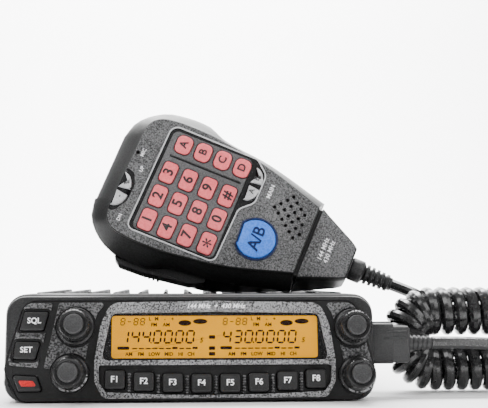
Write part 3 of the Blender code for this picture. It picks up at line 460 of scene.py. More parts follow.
def circle(radius, sides, centre=(0.0, 0.0)):
    """The points of a circle, anticlockwise."""
    return [(centre[0] + radius * math.cos(math.tau * side / sides),
             centre[1] + radius * math.sin(math.tau * side / sides)) for side in range(sides)]


def symmetric(half, radii, centre_x):
    """A closed outline from its right half, listed upwards; one on the middle isn't doubled."""
    right = [((centre_x + x, y), radius) for (x, y), radius in zip(half, radii)]
    left = [((centre_x - x, y), radius) for (x, y), radius in zip(half, radii) if x > 0]
    whole = right + left[::-1]
    return rounded([corner for corner, radius in whole], [radius for corner, radius in whole])


def smooth_half(half, samples=30):
    """A half outline's points as a smooth curve, sampled evenly from end to end."""
    return evenly(smooth_curve(half, 12), samples)


def smooth_curve(points, steps):
    """A smooth curve through points, with so many steps from each to the next."""
    points = [Vector(point) for point in points]
    ends = [2 * points[0] - points[1]] + points + [2 * points[-1] - points[-2]]
    curve = []
    for before, start, end, after in zip(ends, ends[1:], ends[2:], ends[3:]):
        reach = (end - start).length
        leaving = (end - before).normalized() * reach
        arriving = (after - start).normalized() * reach
        curve += [hermite(start, leaving, end, arriving, step / steps) for step in range(steps)]
    curve.append(points[-1])
    return curve


def hermite(start, leaving, end, arriving, t):
    """A point on the smooth curve between two points with given directions."""
    return ((2 * t ** 3 - 3 * t ** 2 + 1) * start + (t ** 3 - 2 * t ** 2 + t) * leaving
            + (3 * t ** 2 - 2 * t ** 3) * end + (t ** 3 - t ** 2) * arriving)


def evenly(curve, samples):
    """Points at even distances along a fine curve, its ends among them."""
    travelled = [0.0]
    for a, b in zip(curve, curve[1:]):
        travelled.append(travelled[-1] + (b - a).length)
    picked = []
    index = 0
    for sample in range(samples):
        target = travelled[-1] * sample / (samples - 1)
        while index < len(curve) - 2 and travelled[index + 1] < target:
            index += 1
        stretch = travelled[index + 1] - travelled[index]
        picked.append(curve[index].lerp(curve[index + 1], (target - travelled[index]) / stretch))
    return picked


def mirrored(half):
    """The whole anticlockwise outline of a shape given as distance along and half width."""
    return [(x, -y) for x, y in half] + [(x, y) for x, y in reversed(half)]


def between(outline, other, t):
    """The outline part of the way from one to another of as many points."""
    return [Vector(a).lerp(Vector(b), t) for a, b in zip(outline, other)]


def at(outline, level):
    """An outline laid flat at a level."""
    return [(point[0], point[1], level) for point in outline]


def across(outline, x):
    """An outline of y and z stood upright at a place along x."""
    return [(x, point[0], point[1]) for point in outline]


def on_circle(centre, radius, angle):
    """The point of a circle at an angle."""
    return centre[0] + radius * math.cos(angle), centre[1] + radius * math.sin(angle)


# ---------------------------------------------------------------- modelling by hand

def deselect_all():
    """Leave edit mode with nothing selected."""
    if bpy.context.mode != "OBJECT":
        bpy.ops.object.mode_set(mode="OBJECT")
    bpy.ops.object.select_all(action="DESELECT")


def choose(*pieces):
    """Select these pieces alone, the first of them active."""
    deselect_all()
    for piece in pieces:
        piece.select_set(True)
    bpy.context.view_layer.objects.active = pieces[0]


def stacked(name, rings):
    """A solid through rings of as many points each: a filled circle, shaped and extruded."""
    deselect_all()
    bpy.ops.mesh.primitive_circle_add(vertices=len(rings[0]), fill_type="NGON")
    piece = bpy.context.object
    piece.name = name
    for vertex, point in zip(piece.data.vertices, rings[0]):
        vertex.co = point
    for ring in rings[1:]:
        bpy.ops.object.mode_set(mode="EDIT")
        bpy.ops.mesh.extrude_region()
        bpy.ops.object.mode_set(mode="OBJECT")
        raised = [vertex for vertex in piece.data.vertices if vertex.select]
        for vertex, point in zip(raised, ring):
            vertex.co = point
    bpy.ops.object.mode_set(mode="EDIT")
    bpy.ops.mesh.select_all(action="SELECT")
    bpy.ops.mesh.normals_make_consistent(inside=False)
    bpy.ops.object.mode_set(mode="OBJECT")
    return piece


def slab(name, outline, low, high):
    """A flat piece between two levels."""
    return stacked(name, [at(outline, low), at(outline, high)])


def cutters(outlines, low, high):
    """Cutting tools through the same two levels."""
    return [slab("cutter", outline, low, high) for outline in outlines]


def joined(name, pieces):
    """Several pieces as one object."""
    choose(*pieces)
    if len(pieces) > 1:
        bpy.ops.object.join()
    bpy.context.object.name = name
    return bpy.context.object


def applied(piece, kind, **settings):
    """A modifier given its settings and applied."""
    choose(piece)
    modifier = piece.modifiers.new(kind.title(), kind)
    for setting, value in settings.items():
        setattr(modifier, setting, value)
    bpy.ops.object.modifier_apply(modifier=modifier.name)
    return piece


def softened(piece, width, segments=2, angle=35):
    """Round the piece's edges that are sharper than an angle."""
    return applied(piece, "BEVEL", width=width, segments=segments, limit_method="ANGLE",
                   angle_limit=math.radians(angle))


def cut(piece, tools):
    """Take cutting tools out of a piece."""
    tool = joined("cutter", tools)
    applied(piece, "BOOLEAN", operation="DIFFERENCE", solver="MANIFOLD", object=tool)
    bpy.data.objects.remove(tool)
    return piece


def lettering(name, text, size, place, level, turn=0.0, slant=0.0, weight=0.02, rise=0.06):
    """Raised text as a mesh, its middle at a place on a face."""
    deselect_all()
    bpy.ops.object.text_add()
    piece = bpy.context.object
    piece.name = name
    words = piece.data
    words.body = text
    words.size = size
    words.shear = slant
    words.offset = weight * size
    words.extrude = rise / 2
    words.align_x = "CENTER"
    words.align_y = "CENTER"
    words.resolution_u = 3
    bpy.ops.object.convert(target="MESH")
    piece = bpy.context.object
    place = Matrix.Translation((place[0], place[1], level + rise / 2))
    piece.data.transform(place @ Matrix.Rotation(turn, 4, "Z"))
    return piece


def grained(piece, is_face):
    """Give a microphone piece grain on the polygons that a test picks, and satin elsewhere."""
    piece.data.materials.clear()
    piece.data.materials.append(FINISHES["mic_satin"])
    piece.data.materials.append(FINISHES["mic_grain"])
    for polygon in piece.data.polygons:
        polygon.material_index = 1 if is_face(polygon) else 0


def set_down(piece, where, body, look, *nodes, angle=35, even_shading=False):
    """Set a finished piece in its place in the world, with its finish, on its body."""
    choose(piece)
    piece.matrix_world = where @ Matrix.Scale(MM, 4)
    bpy.ops.object.transform_apply(location=True, rotation=True, scale=True)
    bpy.ops.object.shade_smooth_by_angle(angle=math.radians(angle))
    if even_shading:
        applied(piece, "WEIGHTED_NORMAL", keep_sharp=True)
    if look:
        piece.data.materials.clear()
        piece.data.materials.append(FINISHES[look])
    if body:
        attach(piece, body)
    if nodes:
        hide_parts(*nodes)
    return piece


# ---------------------------------------------------------------- frames of the two faces

def joint_axis(name):
    """The axis of a joint."""
    return Vector(next(joint for joint in frame["joints"] if joint["name"] == name)["axis"])


def middle_of(node):
    """The middle of a node's box."""
    low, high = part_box(node)
    return (Vector(low) + Vector(high)) / 2


def axes(right, up, out, origin):
    """The matrix that turns a face's own x, y and z into the world's."""
    return Matrix.Translation(origin) @ Matrix((right, up, out)).transposed().to_4x4()


def radio_face():
    """The frame of the radio's leaning face, its origin at the foot of its middle."""
    inward = joint_axis("power_key_press").normalized()
    right = Vector((1.0, 0.0, 0.0))
    up = right.cross(inward)
    front_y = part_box("face_plate")[0][1]
    origin = Vector((0.0, front_y - FACE_BOTTOM * MM * up.y, 0.0))
    return axes(right, up, -inward, origin)


def microphone_face():
    """The frame of the microphone's face, its origin at the middle of the top end."""
    along = (middle_of("mic_key_star") - middle_of("mic_key_1")).normalized()
    up = (middle_of("mic_key_3") - middle_of("mic_key_1")).normalized()
    out = along.cross(up)
    points = [vertex.co for vertex in frame["nodes"]["mic_front_shell"].data.vertices]
    top_end = min(point.dot(along) for point in points)
    sides = [point.dot(up) for point in points]
    front = max(point.dot(out) for point in points)
    return axes(along, up, out, along * top_end + up * (min(sides) + max(sides)) / 2 + out * front)


FACE = radio_face()
MIC = microphone_face()


# ---------------------------------------------------------------- finishes

FINISHES = {}


def moulded(look, dark, light, roughness, grain, relief,
            metallic=0.0, contrast=0.5, coat=0.0, specular=0.25):
    """A finish whose colour, gloss and relief follow a grain of a size in millimetres."""
    made = bpy.data.materials.new(look)
    made.use_nodes = True
    nodes = made.node_tree.nodes
    link = made.node_tree.links.new
    shader = nodes["Principled BSDF"]
    coordinates = nodes.new("ShaderNodeTexCoord")
    fine = nodes.new("ShaderNodeTexNoise")
    fine.inputs["Scale"].default_value = 1000.0 / grain
    fine.inputs["Detail"].default_value = 3.0
    broad = nodes.new("ShaderNodeTexNoise")
    broad.inputs["Scale"].default_value = 55.0
    broad.inputs["Detail"].default_value = 2.0
    mixed = nodes.new("ShaderNodeMath")
    mixed.operation = "MULTIPLY_ADD"
    mixed.inputs[1].default_value = 0.25
    ramp = nodes.new("ShaderNodeValToRGB")
    ramp.color_ramp.elements[0].position = 0.62 - contrast / 4
    ramp.color_ramp.elements[0].color = (*dark, 1.0)
    ramp.color_ramp.elements[1].position = 0.62 + contrast / 4
    ramp.color_ramp.elements[1].color = (*light, 1.0)
    gloss = nodes.new("ShaderNodeMapRange")
    gloss.inputs["From Min"].default_value = 0.35
    gloss.inputs["From Max"].default_value = 0.65
    gloss.inputs["To Min"].default_value = roughness * 0.85
    gloss.inputs["To Max"].default_value = min(1.0, roughness * 1.15)
    bump = nodes.new("ShaderNodeBump")
    bump.inputs["Strength"].default_value = relief
    bump.inputs["Distance"].default_value = 0.15 * MM * grain
    for texture in (fine, broad):
        link(coordinates.outputs["Object"], texture.inputs["Vector"])
    link(broad.outputs["Fac"], mixed.inputs[0])
    link(fine.outputs["Fac"], mixed.inputs[2])
    link(mixed.outputs["Value"], ramp.inputs["Fac"])
    link(ramp.outputs["Color"], shader.inputs["Base Color"])
    link(broad.outputs["Fac"], gloss.inputs["Value"])
    link(gloss.outputs["Result"], shader.inputs["Roughness"])
    link(fine.outputs["Fac"], bump.inputs["Height"])
    link(bump.outputs["Normal"], shader.inputs["Normal"])
    shader.inputs["Metallic"].default_value = metallic
    shader.inputs["Coat Weight"].default_value = coat
    shader.inputs["Coat Roughness"].default_value = 0.15
    shader.inputs["Specular IOR Level"].default_value = specular
    FINISHES[look] = made
    return made


def glowing(look, colour, strength):
    """Give a finish a light of its own."""
    shader = FINISHES[look].node_tree.nodes["Principled BSDF"]
    shader.inputs["Emission Color"].default_value = (*colour, 1.0)
    shader.inputs["Emission Strength"].default_value = strength


def grey(level):
    """A neutral grey."""
    return (level, level, level * 1.02)


def make_finishes():
    """Every finish of the radio, the microphone and the cord."""
    moulded("case_satin", grey(0.014), grey(0.024), 0.50, 0.5, 0.25, specular=0.14)
    moulded("face_satin", grey(0.005), grey(0.010), 0.45, 0.5, 0.25)
    moulded("wrinkle", grey(0.006), grey(0.13), 0.48, 0.75, 1.0, contrast=0.45)
    moulded("panel_wrinkle", grey(0.010), grey(0.26), 0.46, 0.6, 1.0, contrast=0.5)
    moulded("gloss_black", grey(0.006), grey(0.012), 0.16, 2.0, 0.08, coat=0.3)
    moulded("knob_black", grey(0.006), grey(0.014), 0.28, 0.6, 0.2)
    moulded("knob_cap", grey(0.022), grey(0.042), 0.38, 0.5, 0.2)
    # Pale grey of the painted highlights on the volume knobs' skirts
    moulded("knob_painted_highlight", grey(0.22), grey(0.34), 0.35, 0.5, 0.2)
    moulded("key_satin", grey(0.010), grey(0.018), 0.45, 0.4, 0.2)
    moulded("legend_white", grey(0.72), grey(0.86), 0.5, 0.4, 0.1)
    moulded("legend_black", grey(0.012), grey(0.03), 0.5, 0.4, 0.1)
    moulded("amber_glass", (0.46, 0.17, 0.0), (0.56, 0.23, 0.0), 0.5, 22.0, 0.02,
            specular=0.05)
    glowing("amber_glass", (1.0, 0.47, 0.0), 0.62)
    moulded("segment_brown", (0.010, 0.003, 0.001), (0.022, 0.007, 0.002),
            0.5, 0.8, 0.05, specular=0.05)
    moulded("red_glow", (0.35, 0.01, 0.01), (0.5, 0.02, 0.02), 0.4, 0.8, 0.1)
    glowing("red_glow", (0.8, 0.02, 0.02), 0.10)
    moulded("cast_black", grey(0.006), grey(0.013), 0.62, 0.7, 0.6, specular=0.06)
    moulded("cover_black", grey(0.02), grey(0.04), 0.45, 0.6, 0.4)
    moulded("steel", grey(0.45), grey(0.65), 0.28, 0.5, 0.15, metallic=1.0)
    moulded("plated", (0.68, 0.66, 0.6), (0.8, 0.78, 0.7), 0.22, 0.6, 0.1, metallic=1.0)
    moulded("board_green", (0.01, 0.10, 0.03), (0.03, 0.20, 0.07), 0.4, 1.2, 0.2)
    moulded("mic_satin", grey(0.008), grey(0.016), 0.40, 0.6, 0.35, specular=0.2)
    moulded("mic_grain", grey(0.014), grey(0.14), 0.46, 0.65, 0.9, contrast=0.6)
    moulded("keypad_grey", grey(0.055), grey(0.11), 0.5, 0.5, 0.5)
    moulded("keypad_trim", grey(0.40), grey(0.52), 0.35, 0.5, 0.1)
    moulded("pink", (0.72, 0.115, 0.13), (0.80, 0.16, 0.175), 0.42, 0.9, 0.15, specular=0.15)
    # Dark copy of the pink, round each key: painted shade of the gap between key and plate
    moulded("pink_painted_shade", (0.05, 0.012, 0.012), (0.09, 0.02, 0.02), 0.5, 0.9, 0.15)
    moulded("blue", (0.035, 0.16, 0.66), (0.065, 0.22, 0.78), 0.36, 0.9, 0.12, specular=0.2)
    moulded("navy", (0.004, 0.010, 0.045), (0.01, 0.02, 0.08), 0.35, 0.9, 0.12)
    moulded("pale", grey(0.36), grey(0.50), 0.4, 0.6, 0.15)
    moulded("cord_gloss", grey(0.008), grey(0.016), 0.22, 1.2, 0.12, coat=0.4)
    moulded("boot_rubber", grey(0.014), grey(0.028), 0.42, 0.6, 0.3)
    moulded("plug_plastic", grey(0.018), grey(0.034), 0.40, 0.5, 0.3)
    window = moulded("window", grey(0.02), grey(0.03), 0.08, 3.0, 0.02)
    window.node_tree.nodes["Principled BSDF"].inputs["Alpha"].default_value = 0.10


make_finishes()


# ---------------------------------------------------------------- camera, light and floor

def set_up_camera():
    """The camera, a little left of the middle, looking slightly right and up."""
    deselect_all()
    turned = (math.radians(CAMERA_TILT), 0.0, math.radians(CAMERA_TURN))
    bpy.ops.object.camera_add(location=Vector(CAMERA_PLACE) * MM, rotation=turned)
    camera = bpy.context.object
    camera.data.lens = CAMERA_LENS
    camera.data.sensor_width = SENSOR_WIDTH
    camera.data.clip_start = 0.01
    bpy.context.scene.camera = camera


def add_softbox(place, target, size, power):
    """A square soft light at a place, turned to a target."""
    deselect_all()
    bpy.ops.object.light_add(type="AREA", location=Vector(place) * MM)
    lamp = bpy.context.object
    lamp.data.size = size * MM
    lamp.data.energy = power
    aim = Vector(target) - Vector(place)
    lamp.rotation_euler = aim.to_track_quat("-Z", "Y").to_euler()


def backdrop_profile(floor_level):
    """The line of the floor and backdrop from the side, from the front to the top."""
    profile = [(FLOOR_FRONT_Y, floor_level), (FLOOR_BACK_Y, floor_level)]
    for step in range(1, BACKDROP_STEPS + 1):
        angle = math.radians(90 * step / BACKDROP_STEPS)
        profile.append((FLOOR_BACK_Y + BACKDROP_RADIUS * math.sin(angle),
                        floor_level + BACKDROP_RADIUS * (1 - math.cos(angle))))
    profile.append((FLOOR_BACK_Y + BACKDROP_RADIUS, BACKDROP_TOP))
    return profile


def make_floor():
    """A pale floor that turns up into a backdrop, its far edge extruded along the profile."""
    profile = backdrop_profile(cad_box[0][2] / MM)
    deselect_all()
    bpy.ops.mesh.primitive_plane_add(size=1.0)
    floor = bpy.context.object
    floor.name = "studio_floor"
    for vertex, (x, row) in zip(floor.data.vertices, ((-1, 0), (1, 0), (-1, 1), (1, 1))):
        vertex.co = Vector((FLOOR_HALF_WIDTH * x, *profile[row])) * MM
    far_edge = {2, 3}
    for face in floor.data.polygons:
        face.select = False
    for vertex in floor.data.vertices:
        vertex.select = vertex.index in far_edge
    for edge in floor.data.edges:
        edge.select = set(edge.vertices) == far_edge
    for y, z in profile[2:]:
        bpy.ops.object.mode_set(mode="EDIT")
        bpy.ops.mesh.select_mode(type="EDGE")
        bpy.ops.mesh.extrude_edges_move()
        bpy.ops.object.mode_set(mode="OBJECT")
        for vertex in [vertex for vertex in floor.data.vertices if vertex.select]:
            vertex.co.y = y * MM
            vertex.co.z = z * MM
    bpy.ops.object.shade_smooth()
    paper = bpy.data.materials.new("pale_paper")
    paper.use_nodes = True
    shader = paper.node_tree.nodes["Principled BSDF"]
    shader.inputs["Base Color"].default_value = (0.95, 0.95, 0.95, 1.0)
    shader.inputs["Roughness"].default_value = 0.8
    floor.data.materials.append(paper)


def set_up_studio():
    """The floor, soft lights and a pale surround."""
    make_floor()
    for softbox in SOFTBOXES:
        add_softbox(*softbox)
    world = bpy.data.worlds.new("pale_surround")
    world.use_nodes = True
    background = world.node_tree.nodes["Background"]
    background.inputs["Color"].default_value = (1.0, 1.0, 1.0, 1.0)
    background.inputs["Strength"].default_value = SURROUND_STRENGTH
    bpy.context.scene.world = world


set_up_camera()
set_up_studio()


# ---------------------------------------------------------------- cords

def route_through(points, spacing):
    """Points at an even spacing along a smooth curve through a route's own points."""
    fine = smooth_curve(points, 24)
    return evenly(fine, round(route_length(fine) / spacing) + 1)


def route_length(route):
    """The length of a route."""
    return sum((b - a).length for a, b in zip(route, route[1:]))


def helix_route():
    """The curly stretch: a helix along a run out, a half turn and a run back."""
    bend_radius = (CURL_HIGH_Z - CURL_LOW_Z) / 2
    bend_z = (CURL_HIGH_Z + CURL_LOW_Z) / 2
    run = CURL_END_X - CURL_BEND_X
    bend = math.pi * bend_radius
    whole = 2 * run + bend
    route = []
    travelled = 0.0
    turn = 0.0
    while travelled < whole - HELIX_END_MARGIN:
        if travelled < run:
            centre = Vector((CURL_END_X - travelled, CURL_Y, CURL_HIGH_Z))
            outward = Vector((0.0, 0.0, 1.0))
        elif travelled < run + bend:
            angle = math.pi / 2 + (travelled - run) / bend_radius
            outward = Vector((math.cos(angle), 0.0, math.sin(angle)))
            centre = Vector((CURL_BEND_X, CURL_Y, bend_z)) + outward * bend_radius
        else:
            centre = Vector((CURL_BEND_X + travelled - run - bend, CURL_Y, CURL_LOW_Z))
            outward = Vector((0.0, 0.0, -1.0))
        from_end = min(travelled, whole - travelled)
        rise = min(1.0, from_end / HELIX_RAMP)
        swell = HELIX_RADIUS * rise * rise * (3 - 2 * rise)
        sideways = Vector((0.0, 1.0, 0.0))
        route.append(centre + swell * (outward * math.cos(turn) + sideways * math.sin(turn)))
        in_bend = run < travelled < run + bend
        pitch = HELIX_BEND_PITCH if in_bend else HELIX_PITCH
        if from_end < HELIX_RAMP * 0.7:
            pitch = HELIX_RAMP_PITCH
        travelled += pitch / TURN_POINTS
        turn += math.tau / TURN_POINTS
    route.append(Vector((CURL_END_X, CURL_Y, CURL_LOW_Z)))
    return route


def tube(name, route, radius, resolution=3):
    """A round tube with filled ends along a route, as a mesh."""
    deselect_all()
    line = bpy.data.curves.new(name, "CURVE")
    line.dimensions = "3D"
    line.bevel_depth = radius
    line.bevel_resolution = resolution
    line.use_fill_caps = True
    spline = line.splines.new("POLY")
    spline.points.add(len(route) - 1)
    for target, point in zip(spline.points, route):
        target.co = (*point, 1.0)
    piece = bpy.data.objects.new(name, line)
    bpy.context.collection.objects.link(piece)
    choose(piece)
    bpy.ops.object.convert(target="MESH")
    return bpy.context.object


def make_cords():
    """The microphone's lead, and the curly cord with its lead to the plug."""
    boot_end = MIC @ (Vector((LEAD_START, 0.0, BOOT_Z)) * MM)
    onward = MIC @ (Vector((LEAD_START + LEAD_STRAIGHT, 0.0, BOOT_Z)) * MM)
    route = route_through([boot_end / MM, onward / MM, *MIC_LEAD_ROUTE], ROUTE_SPACING)
    lead = tube("mic_lead", route, CORD_RADIUS)
    set_down(lead, WORLD, None, "cord_gloss")
    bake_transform(lead)
    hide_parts("cord_mic_lead")

    helix = helix_route()
    plug_lead = route_through(PLUG_LEAD_ROUTE, ROUTE_SPACING)
    route = helix + plug_lead[::-1][1:]
    curly = tube("curly_cord", route, CORD_RADIUS)
    set_down(curly, WORLD, "radio", "cord_gloss", "cord_curl", "cord_plug_lead")
    make_plug()


def make_plug():
    """The modular plug: tongue, stepped hood with its latch and ribs, and a ribbed relief."""
    length, depth, height = PLUG_HOOD
    tongue = slab("tongue", rounded(rectangle(PLUG_TONGUE[1:]), 0.6), -PLUG_TONGUE[0], 0.6)
    outline = rounded(rectangle((depth, height)), HOOD_CORNER)
    narrow_size = (depth - HOOD_STEP[0], height - HOOD_STEP[1])
    narrow = rounded(rectangle(narrow_size, (0.0, -0.4)), HOOD_CORNER - 0.1)
    hood = stacked("hood", [at(outline, 0.0), at(outline, length * 0.55), at(narrow, length * 0.58),
                            at(narrow, length - 1.0), at(offset(narrow, -1.0), length)])
    parts = [tongue, hood]
    for share in HOOD_LINE_SHARES:
        line = rounded(rectangle(HOOD_LINE, (-depth / 2, height * share)), 0.15, 1)
        parts.append(slab("line", line, length * 0.3, length * 0.9))
    latch = rounded(rectangle(LATCH_SIZE, (0.0, height / 2 - 0.2)), 0.4, 2)
    parts.append(slab("latch", latch, 0.2, length * 0.52))
    rings = []
    rib = RELIEF_LENGTH / RELIEF_RIBS
    for index in range(RELIEF_RIBS):
        start = length + rib * index
        radius = RELIEF_RADIUS - RELIEF_TAPER * index
        groove = radius - RELIEF_GROOVE
        rings += [at(circle(reach, 20), start + rib * share) for reach, share in
                  ((radius, 0.0), (radius, 0.55), (groove, 0.62), (groove, 0.95))]
    parts.append(stacked("relief", rings))
    plug = softened(joined("plug", parts), 0.2, 2, 40)
    right, up, out = (Vector(axis) for axis in ((0, 1, 0), (0, 0, 1), (1, 0, 0)))
    sideways = axes(right, up, out, Vector(PLUG_PLACE) * MM)
    return set_down(plug, sideways, "radio", "plug_plastic", "mic_plug")


make_cords()


# ---------------------------------------------------------------- radio

def refined(node, look, width):
    """A copy of a CAD node with merged corners and rounded edges."""
    source = frame["nodes"][node]
    mesh = source.data.copy()
    piece = bpy.data.objects.new(node + "_detailed", mesh)
    bpy.context.collection.objects.link(piece)
    choose(piece)
    bpy.ops.object.mode_set(mode="EDIT")
    bpy.ops.mesh.select_all(action="SELECT")
    bpy.ops.mesh.remove_doubles(threshold=0.00001)
    bpy.ops.mesh.dissolve_limited(angle_limit=math.radians(1))
    bpy.ops.object.mode_set(mode="OBJECT")
    mesh.transform(Matrix.Scale(1 / MM, 4))
    softened(piece, width, 2, 30)
    return set_down(piece, WORLD, source["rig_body"], look, node, even_shading=True)


def make_chassis():
    """Chassis, cover, jack, socket and hang button, and the finishes of the parts inside."""
    for node, look, edge in REFINED_NODES:
        refined(node, look, edge)
    make_rear_details()
    for node, look in INNER_FINISHES.items():
        target = frame["nodes"][node]
        target.data.materials.clear()
        target.data.materials.append(FINISHES[look])


def screw(name, place, right, up, radius, body):
    """A pan-head screw with a crossed recess, its axis out of the surface at a place."""
    head = stacked(name, [at(circle(radius * share, 24), level) for share, level in
                          ((1.0, -0.3), (1.0, 0.35), (0.82, 0.75), (0.5, 0.9))])
    length, width = radius * 1.1, radius * 0.28
    for arm in ((length, width), (width, length)):
        cut(head, cutters([rectangle(arm)], 0.3, 2.0))
    return set_down(head, axes(right, up, right.cross(up), Vector(place) * MM), body, "steel")


def make_rear_details():
    """The screws in the chassis's sides and rear, and the hexagonal nut of the antenna socket."""
    x_axis, y_axis, z_axis = (Vector(axis) for axis in ((1, 0, 0), (0, 1, 0), (0, 0, 1)))
    low, high = (Vector(corner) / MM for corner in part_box("heatsink_chassis"))
    for side, right in ((low.x, -y_axis), (high.x, y_axis)):
        for y in SIDE_SCREW_Y:
            screw("side_screw", (side, y, SIDE_SCREW_Z), right, z_axis, SIDE_SCREW_RADIUS, "radio")
    for x in (low.x + REAR_SCREW_INSET, high.x - REAR_SCREW_INSET):
        for z in REAR_SCREW_Z:
            screw("rear_screw", (x, high.y, z), -x_axis, z_axis, REAR_SCREW_RADIUS, "radio")
    nut = slab("socket_nut", circle(NUT_RADIUS, 6), *NUT_LEVELS)
    cut(nut, cutters([circle(NUT_BORE, 32)], 1.0, 7.0))
    middle = middle_of("antenna_socket")
    place = Vector((middle.x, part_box("antenna_socket")[0][1], middle.z))
    set_down(softened(nut, 0.3), axes(-x_axis, z_axis, y_axis, place), "radio", "plated")


def case_outline():
    """The outline of the head case from the front."""
    height = HEAD_TOP - HEAD_FOOT
    return rounded(rectangle((HEAD_WIDTH, height), (0.0, HEAD_FOOT + height / 2)), HEAD_CORNER, 8)


def make_head_case():
    """The smooth case behind the face plate, open at the front."""
    outline = case_outline()
    lining = offset(outline, -HEAD_WALL)
    lean = FACE.to_3x3() @ Vector((0.0, 1.0, 0.0))
    foot_y = FACE.translation.y / MM + (PLATE_THICKNESS + PLATE_GAP) / lean.z

    def front(points, setback):
        return [(x, foot_y + setback + z * lean.y / lean.z, z) for x, z in points]

    rings = [[(x, HEAD_BACK_Y, z) for x, z in outline]]
    for inset, setback in CASE_EDGE:
        rings.append(front(offset(outline, -inset), setback))
    rings += [front(lining, 0.0), [(x, HEAD_BACK_Y - HEAD_WALL, z) for x, z in lining]]
    case = stacked("head_shell", rings)
    hole = rectangle((PLUG_TONGUE[1] + 0.8, PLUG_TONGUE[2] + 0.8), PLUG_PLACE[1:])
    side = HEAD_WIDTH / 2
    cut(case, [stacked("hole", [across(hole, side - HEAD_WALL - 1), across(hole, side + 1)])])
    set_down(case, WORLD, "radio", "case_satin", "head_case")


def make_head_bezel():
    """The smooth rim of the case that the face plate sits in."""
    lean = FACE.to_3x3() @ Vector((0.0, 1.0, 0.0))
    outline = [(x, y / lean.z) for x, y in offset(case_outline(), -RIM_INSET)]
    rim = stacked("head_rim", [at(offset(outline, -inset), level) for inset, level in RIM_EDGE])
    plate_line = rounded(PLATE_CORNERS, PLATE_RADII, 6)
    cut(rim, cutters([offset(plate_line, HOLE_GAP)], -9.0, 9.0))
    set_down(rim, FACE, "radio", "case_satin")


def front_key_place(index):
    """The middle of a front key, on a shallow arc."""
    middle = (len(FRONT_KEYS) - 1) / 2
    swing = (index - middle) / middle
    return (PANEL_X + (index - middle) * FRONT_KEY_PITCH,
            FRONT_KEY_LOW_Y + KEY_TRENCH_SAG * swing ** 2)


def key_body(name, outline, foot, top, edge, flange=0.5, dish=0.0):
    """A key with a flange at its foot, a rounded edge round its top and a slight dish or crown."""
    low, high = foot
    wide = offset(outline, flange)
    rings = [at(wide, low), at(wide, high), at(outline, high), at(outline, top - edge)]
    for step in (1, 2, 3):
        angle = math.radians(30 * step)
        rings.append(at(offset(outline, -edge * (1 - math.cos(angle))),
                        top - edge * (1 - math.sin(angle))))
    rings.append(at(shrunk(outline, 0.70), top + dish * 0.7))
    rings.append(at(shrunk(outline, 0.45), top + dish))
    return stacked(name, rings)


def trench_outline():
    """The dark trench that the front keys stand in, its floor edge sagging with their arc."""
    half = KEY_TRENCH_HALF
    steps = KEY_TRENCH_STEPS
    low = [(PANEL_X + half[0][0] * step / steps,
            KEY_TRENCH_FLOOR + KEY_TRENCH_RISE * (step / steps) ** 2)
           for step in range(-steps, steps + 1)]
    right = [(PANEL_X + x, y) for x, y in half[1:]]
    left = [(PANEL_X - x, y) for x, y in half[:0:-1]]
    end, floor, side, top = KEY_TRENCH_RADII
    radii = [end] + [floor] * (2 * steps - 1) + [end, side, top, top, side]
    return rounded(low + right + left, radii, 4)


def make_plate():
    """The face plate, with its holes for the keys, the knobs and the display."""
    plate = slab("face", rounded(PLATE_CORNERS, PLATE_RADII, 6), -PLATE_THICKNESS, 0.0)
    holes = [offset(rounded(rectangle(FRONT_KEY_SIZE, front_key_place(index)), 1.0), HOLE_GAP)
             for index in range(len(FRONT_KEYS))]
    holes += [offset(rounded(corners, 0.8), HOLE_GAP) for corners in SIDE_KEYS.values()]
    holes += [circle(SHAFT_HOLE_RADIUS, 24, place) for place in KNOBS.values()]
    holes.append(rectangle(WINDOW_OPENING, (PANEL_X, WINDOW_OPENING_Y)))
    cut(plate, cutters(holes, -PLATE_THICKNESS - 1, 1.0))
    softened(plate, 0.35, 2, 50)
    set_down(plate, FACE, "radio", "face_satin", "face_plate", even_shading=True)


def make_pads():
    """The textured pads round the side keys and the knobs, and the ridge between two keys."""
    pad = slab("key_pad", rounded(KEY_PAD_CORNERS, KEY_PAD_RADII), PAD_FOOT, PAD_HEIGHT)
    surrounds = [offset(rounded(SIDE_KEYS[name], SIDE_KEY_CORNER), KEY_SURROUND)
                 for name in ("squelch_key", "set_key")]
    cut(pad, cutters(surrounds, -1.0, 2.0))
    set_down(softened(pad, PAD_EDGE, 2, 50), FACE, "radio", "wrinkle")
    ridge = slab("side_ridge", rounded(SIDE_RIDGE, 0.4), PAD_FOOT, PAD_HEIGHT)
    set_down(softened(ridge, 0.2), FACE, "radio", "wrinkle")
    for side, corners, radii in (("left", LEFT_PAD_CORNERS, LEFT_PAD_RADII),
                                 ("right", RIGHT_PAD_CORNERS, RIGHT_PAD_RADII)):
        pad = slab(side + "_pad", rounded(corners, radii), PAD_FOOT, PAD_HEIGHT)
        holes = [circle(PAD_HOLE_RADIUS, 40, KNOBS[kind + "_knob_" + side])
                 for kind in ("tuning", "volume")]
        cut(pad, cutters(holes, -1.0, 2.0))
        set_down(softened(pad, PAD_EDGE, 2, 50), FACE, "radio", "wrinkle")


def make_panel():
    """The raised surround of the display and the front keys, the lit glass and its clear pane."""
    panel = slab("panel", symmetric(PANEL_HALF, PANEL_RADII, PANEL_X), PANEL_BACK, PANEL_FRONT)
    window = symmetric(WINDOW_HALF, WINDOW_RADII, PANEL_X)
    cut(panel, cutters([window, trench_outline()], -1.0, 5.0))
    softened(panel, PANEL_EDGE, 3, 50)
    set_down(panel, FACE, "radio", "panel_wrinkle", "display_panel")

    bed = slab("window_bed", window, BED_FOOT, PANEL_BACK + 0.02)
    set_down(bed, FACE, "radio", "gloss_black")
    glass = slab("lcd_glass", rounded(rectangle(LCD_SIZE, LCD_PLACE), LCD_CORNER), 0.0, LCD_LEVEL)
    set_down(glass, FACE, "radio", "amber_glass")
    pane = slab("window_pane", offset(window, -PANE_GAP), *PANE_LEVELS)
    set_down(softened(pane, 0.2), FACE, "radio", "window", "display_lens")


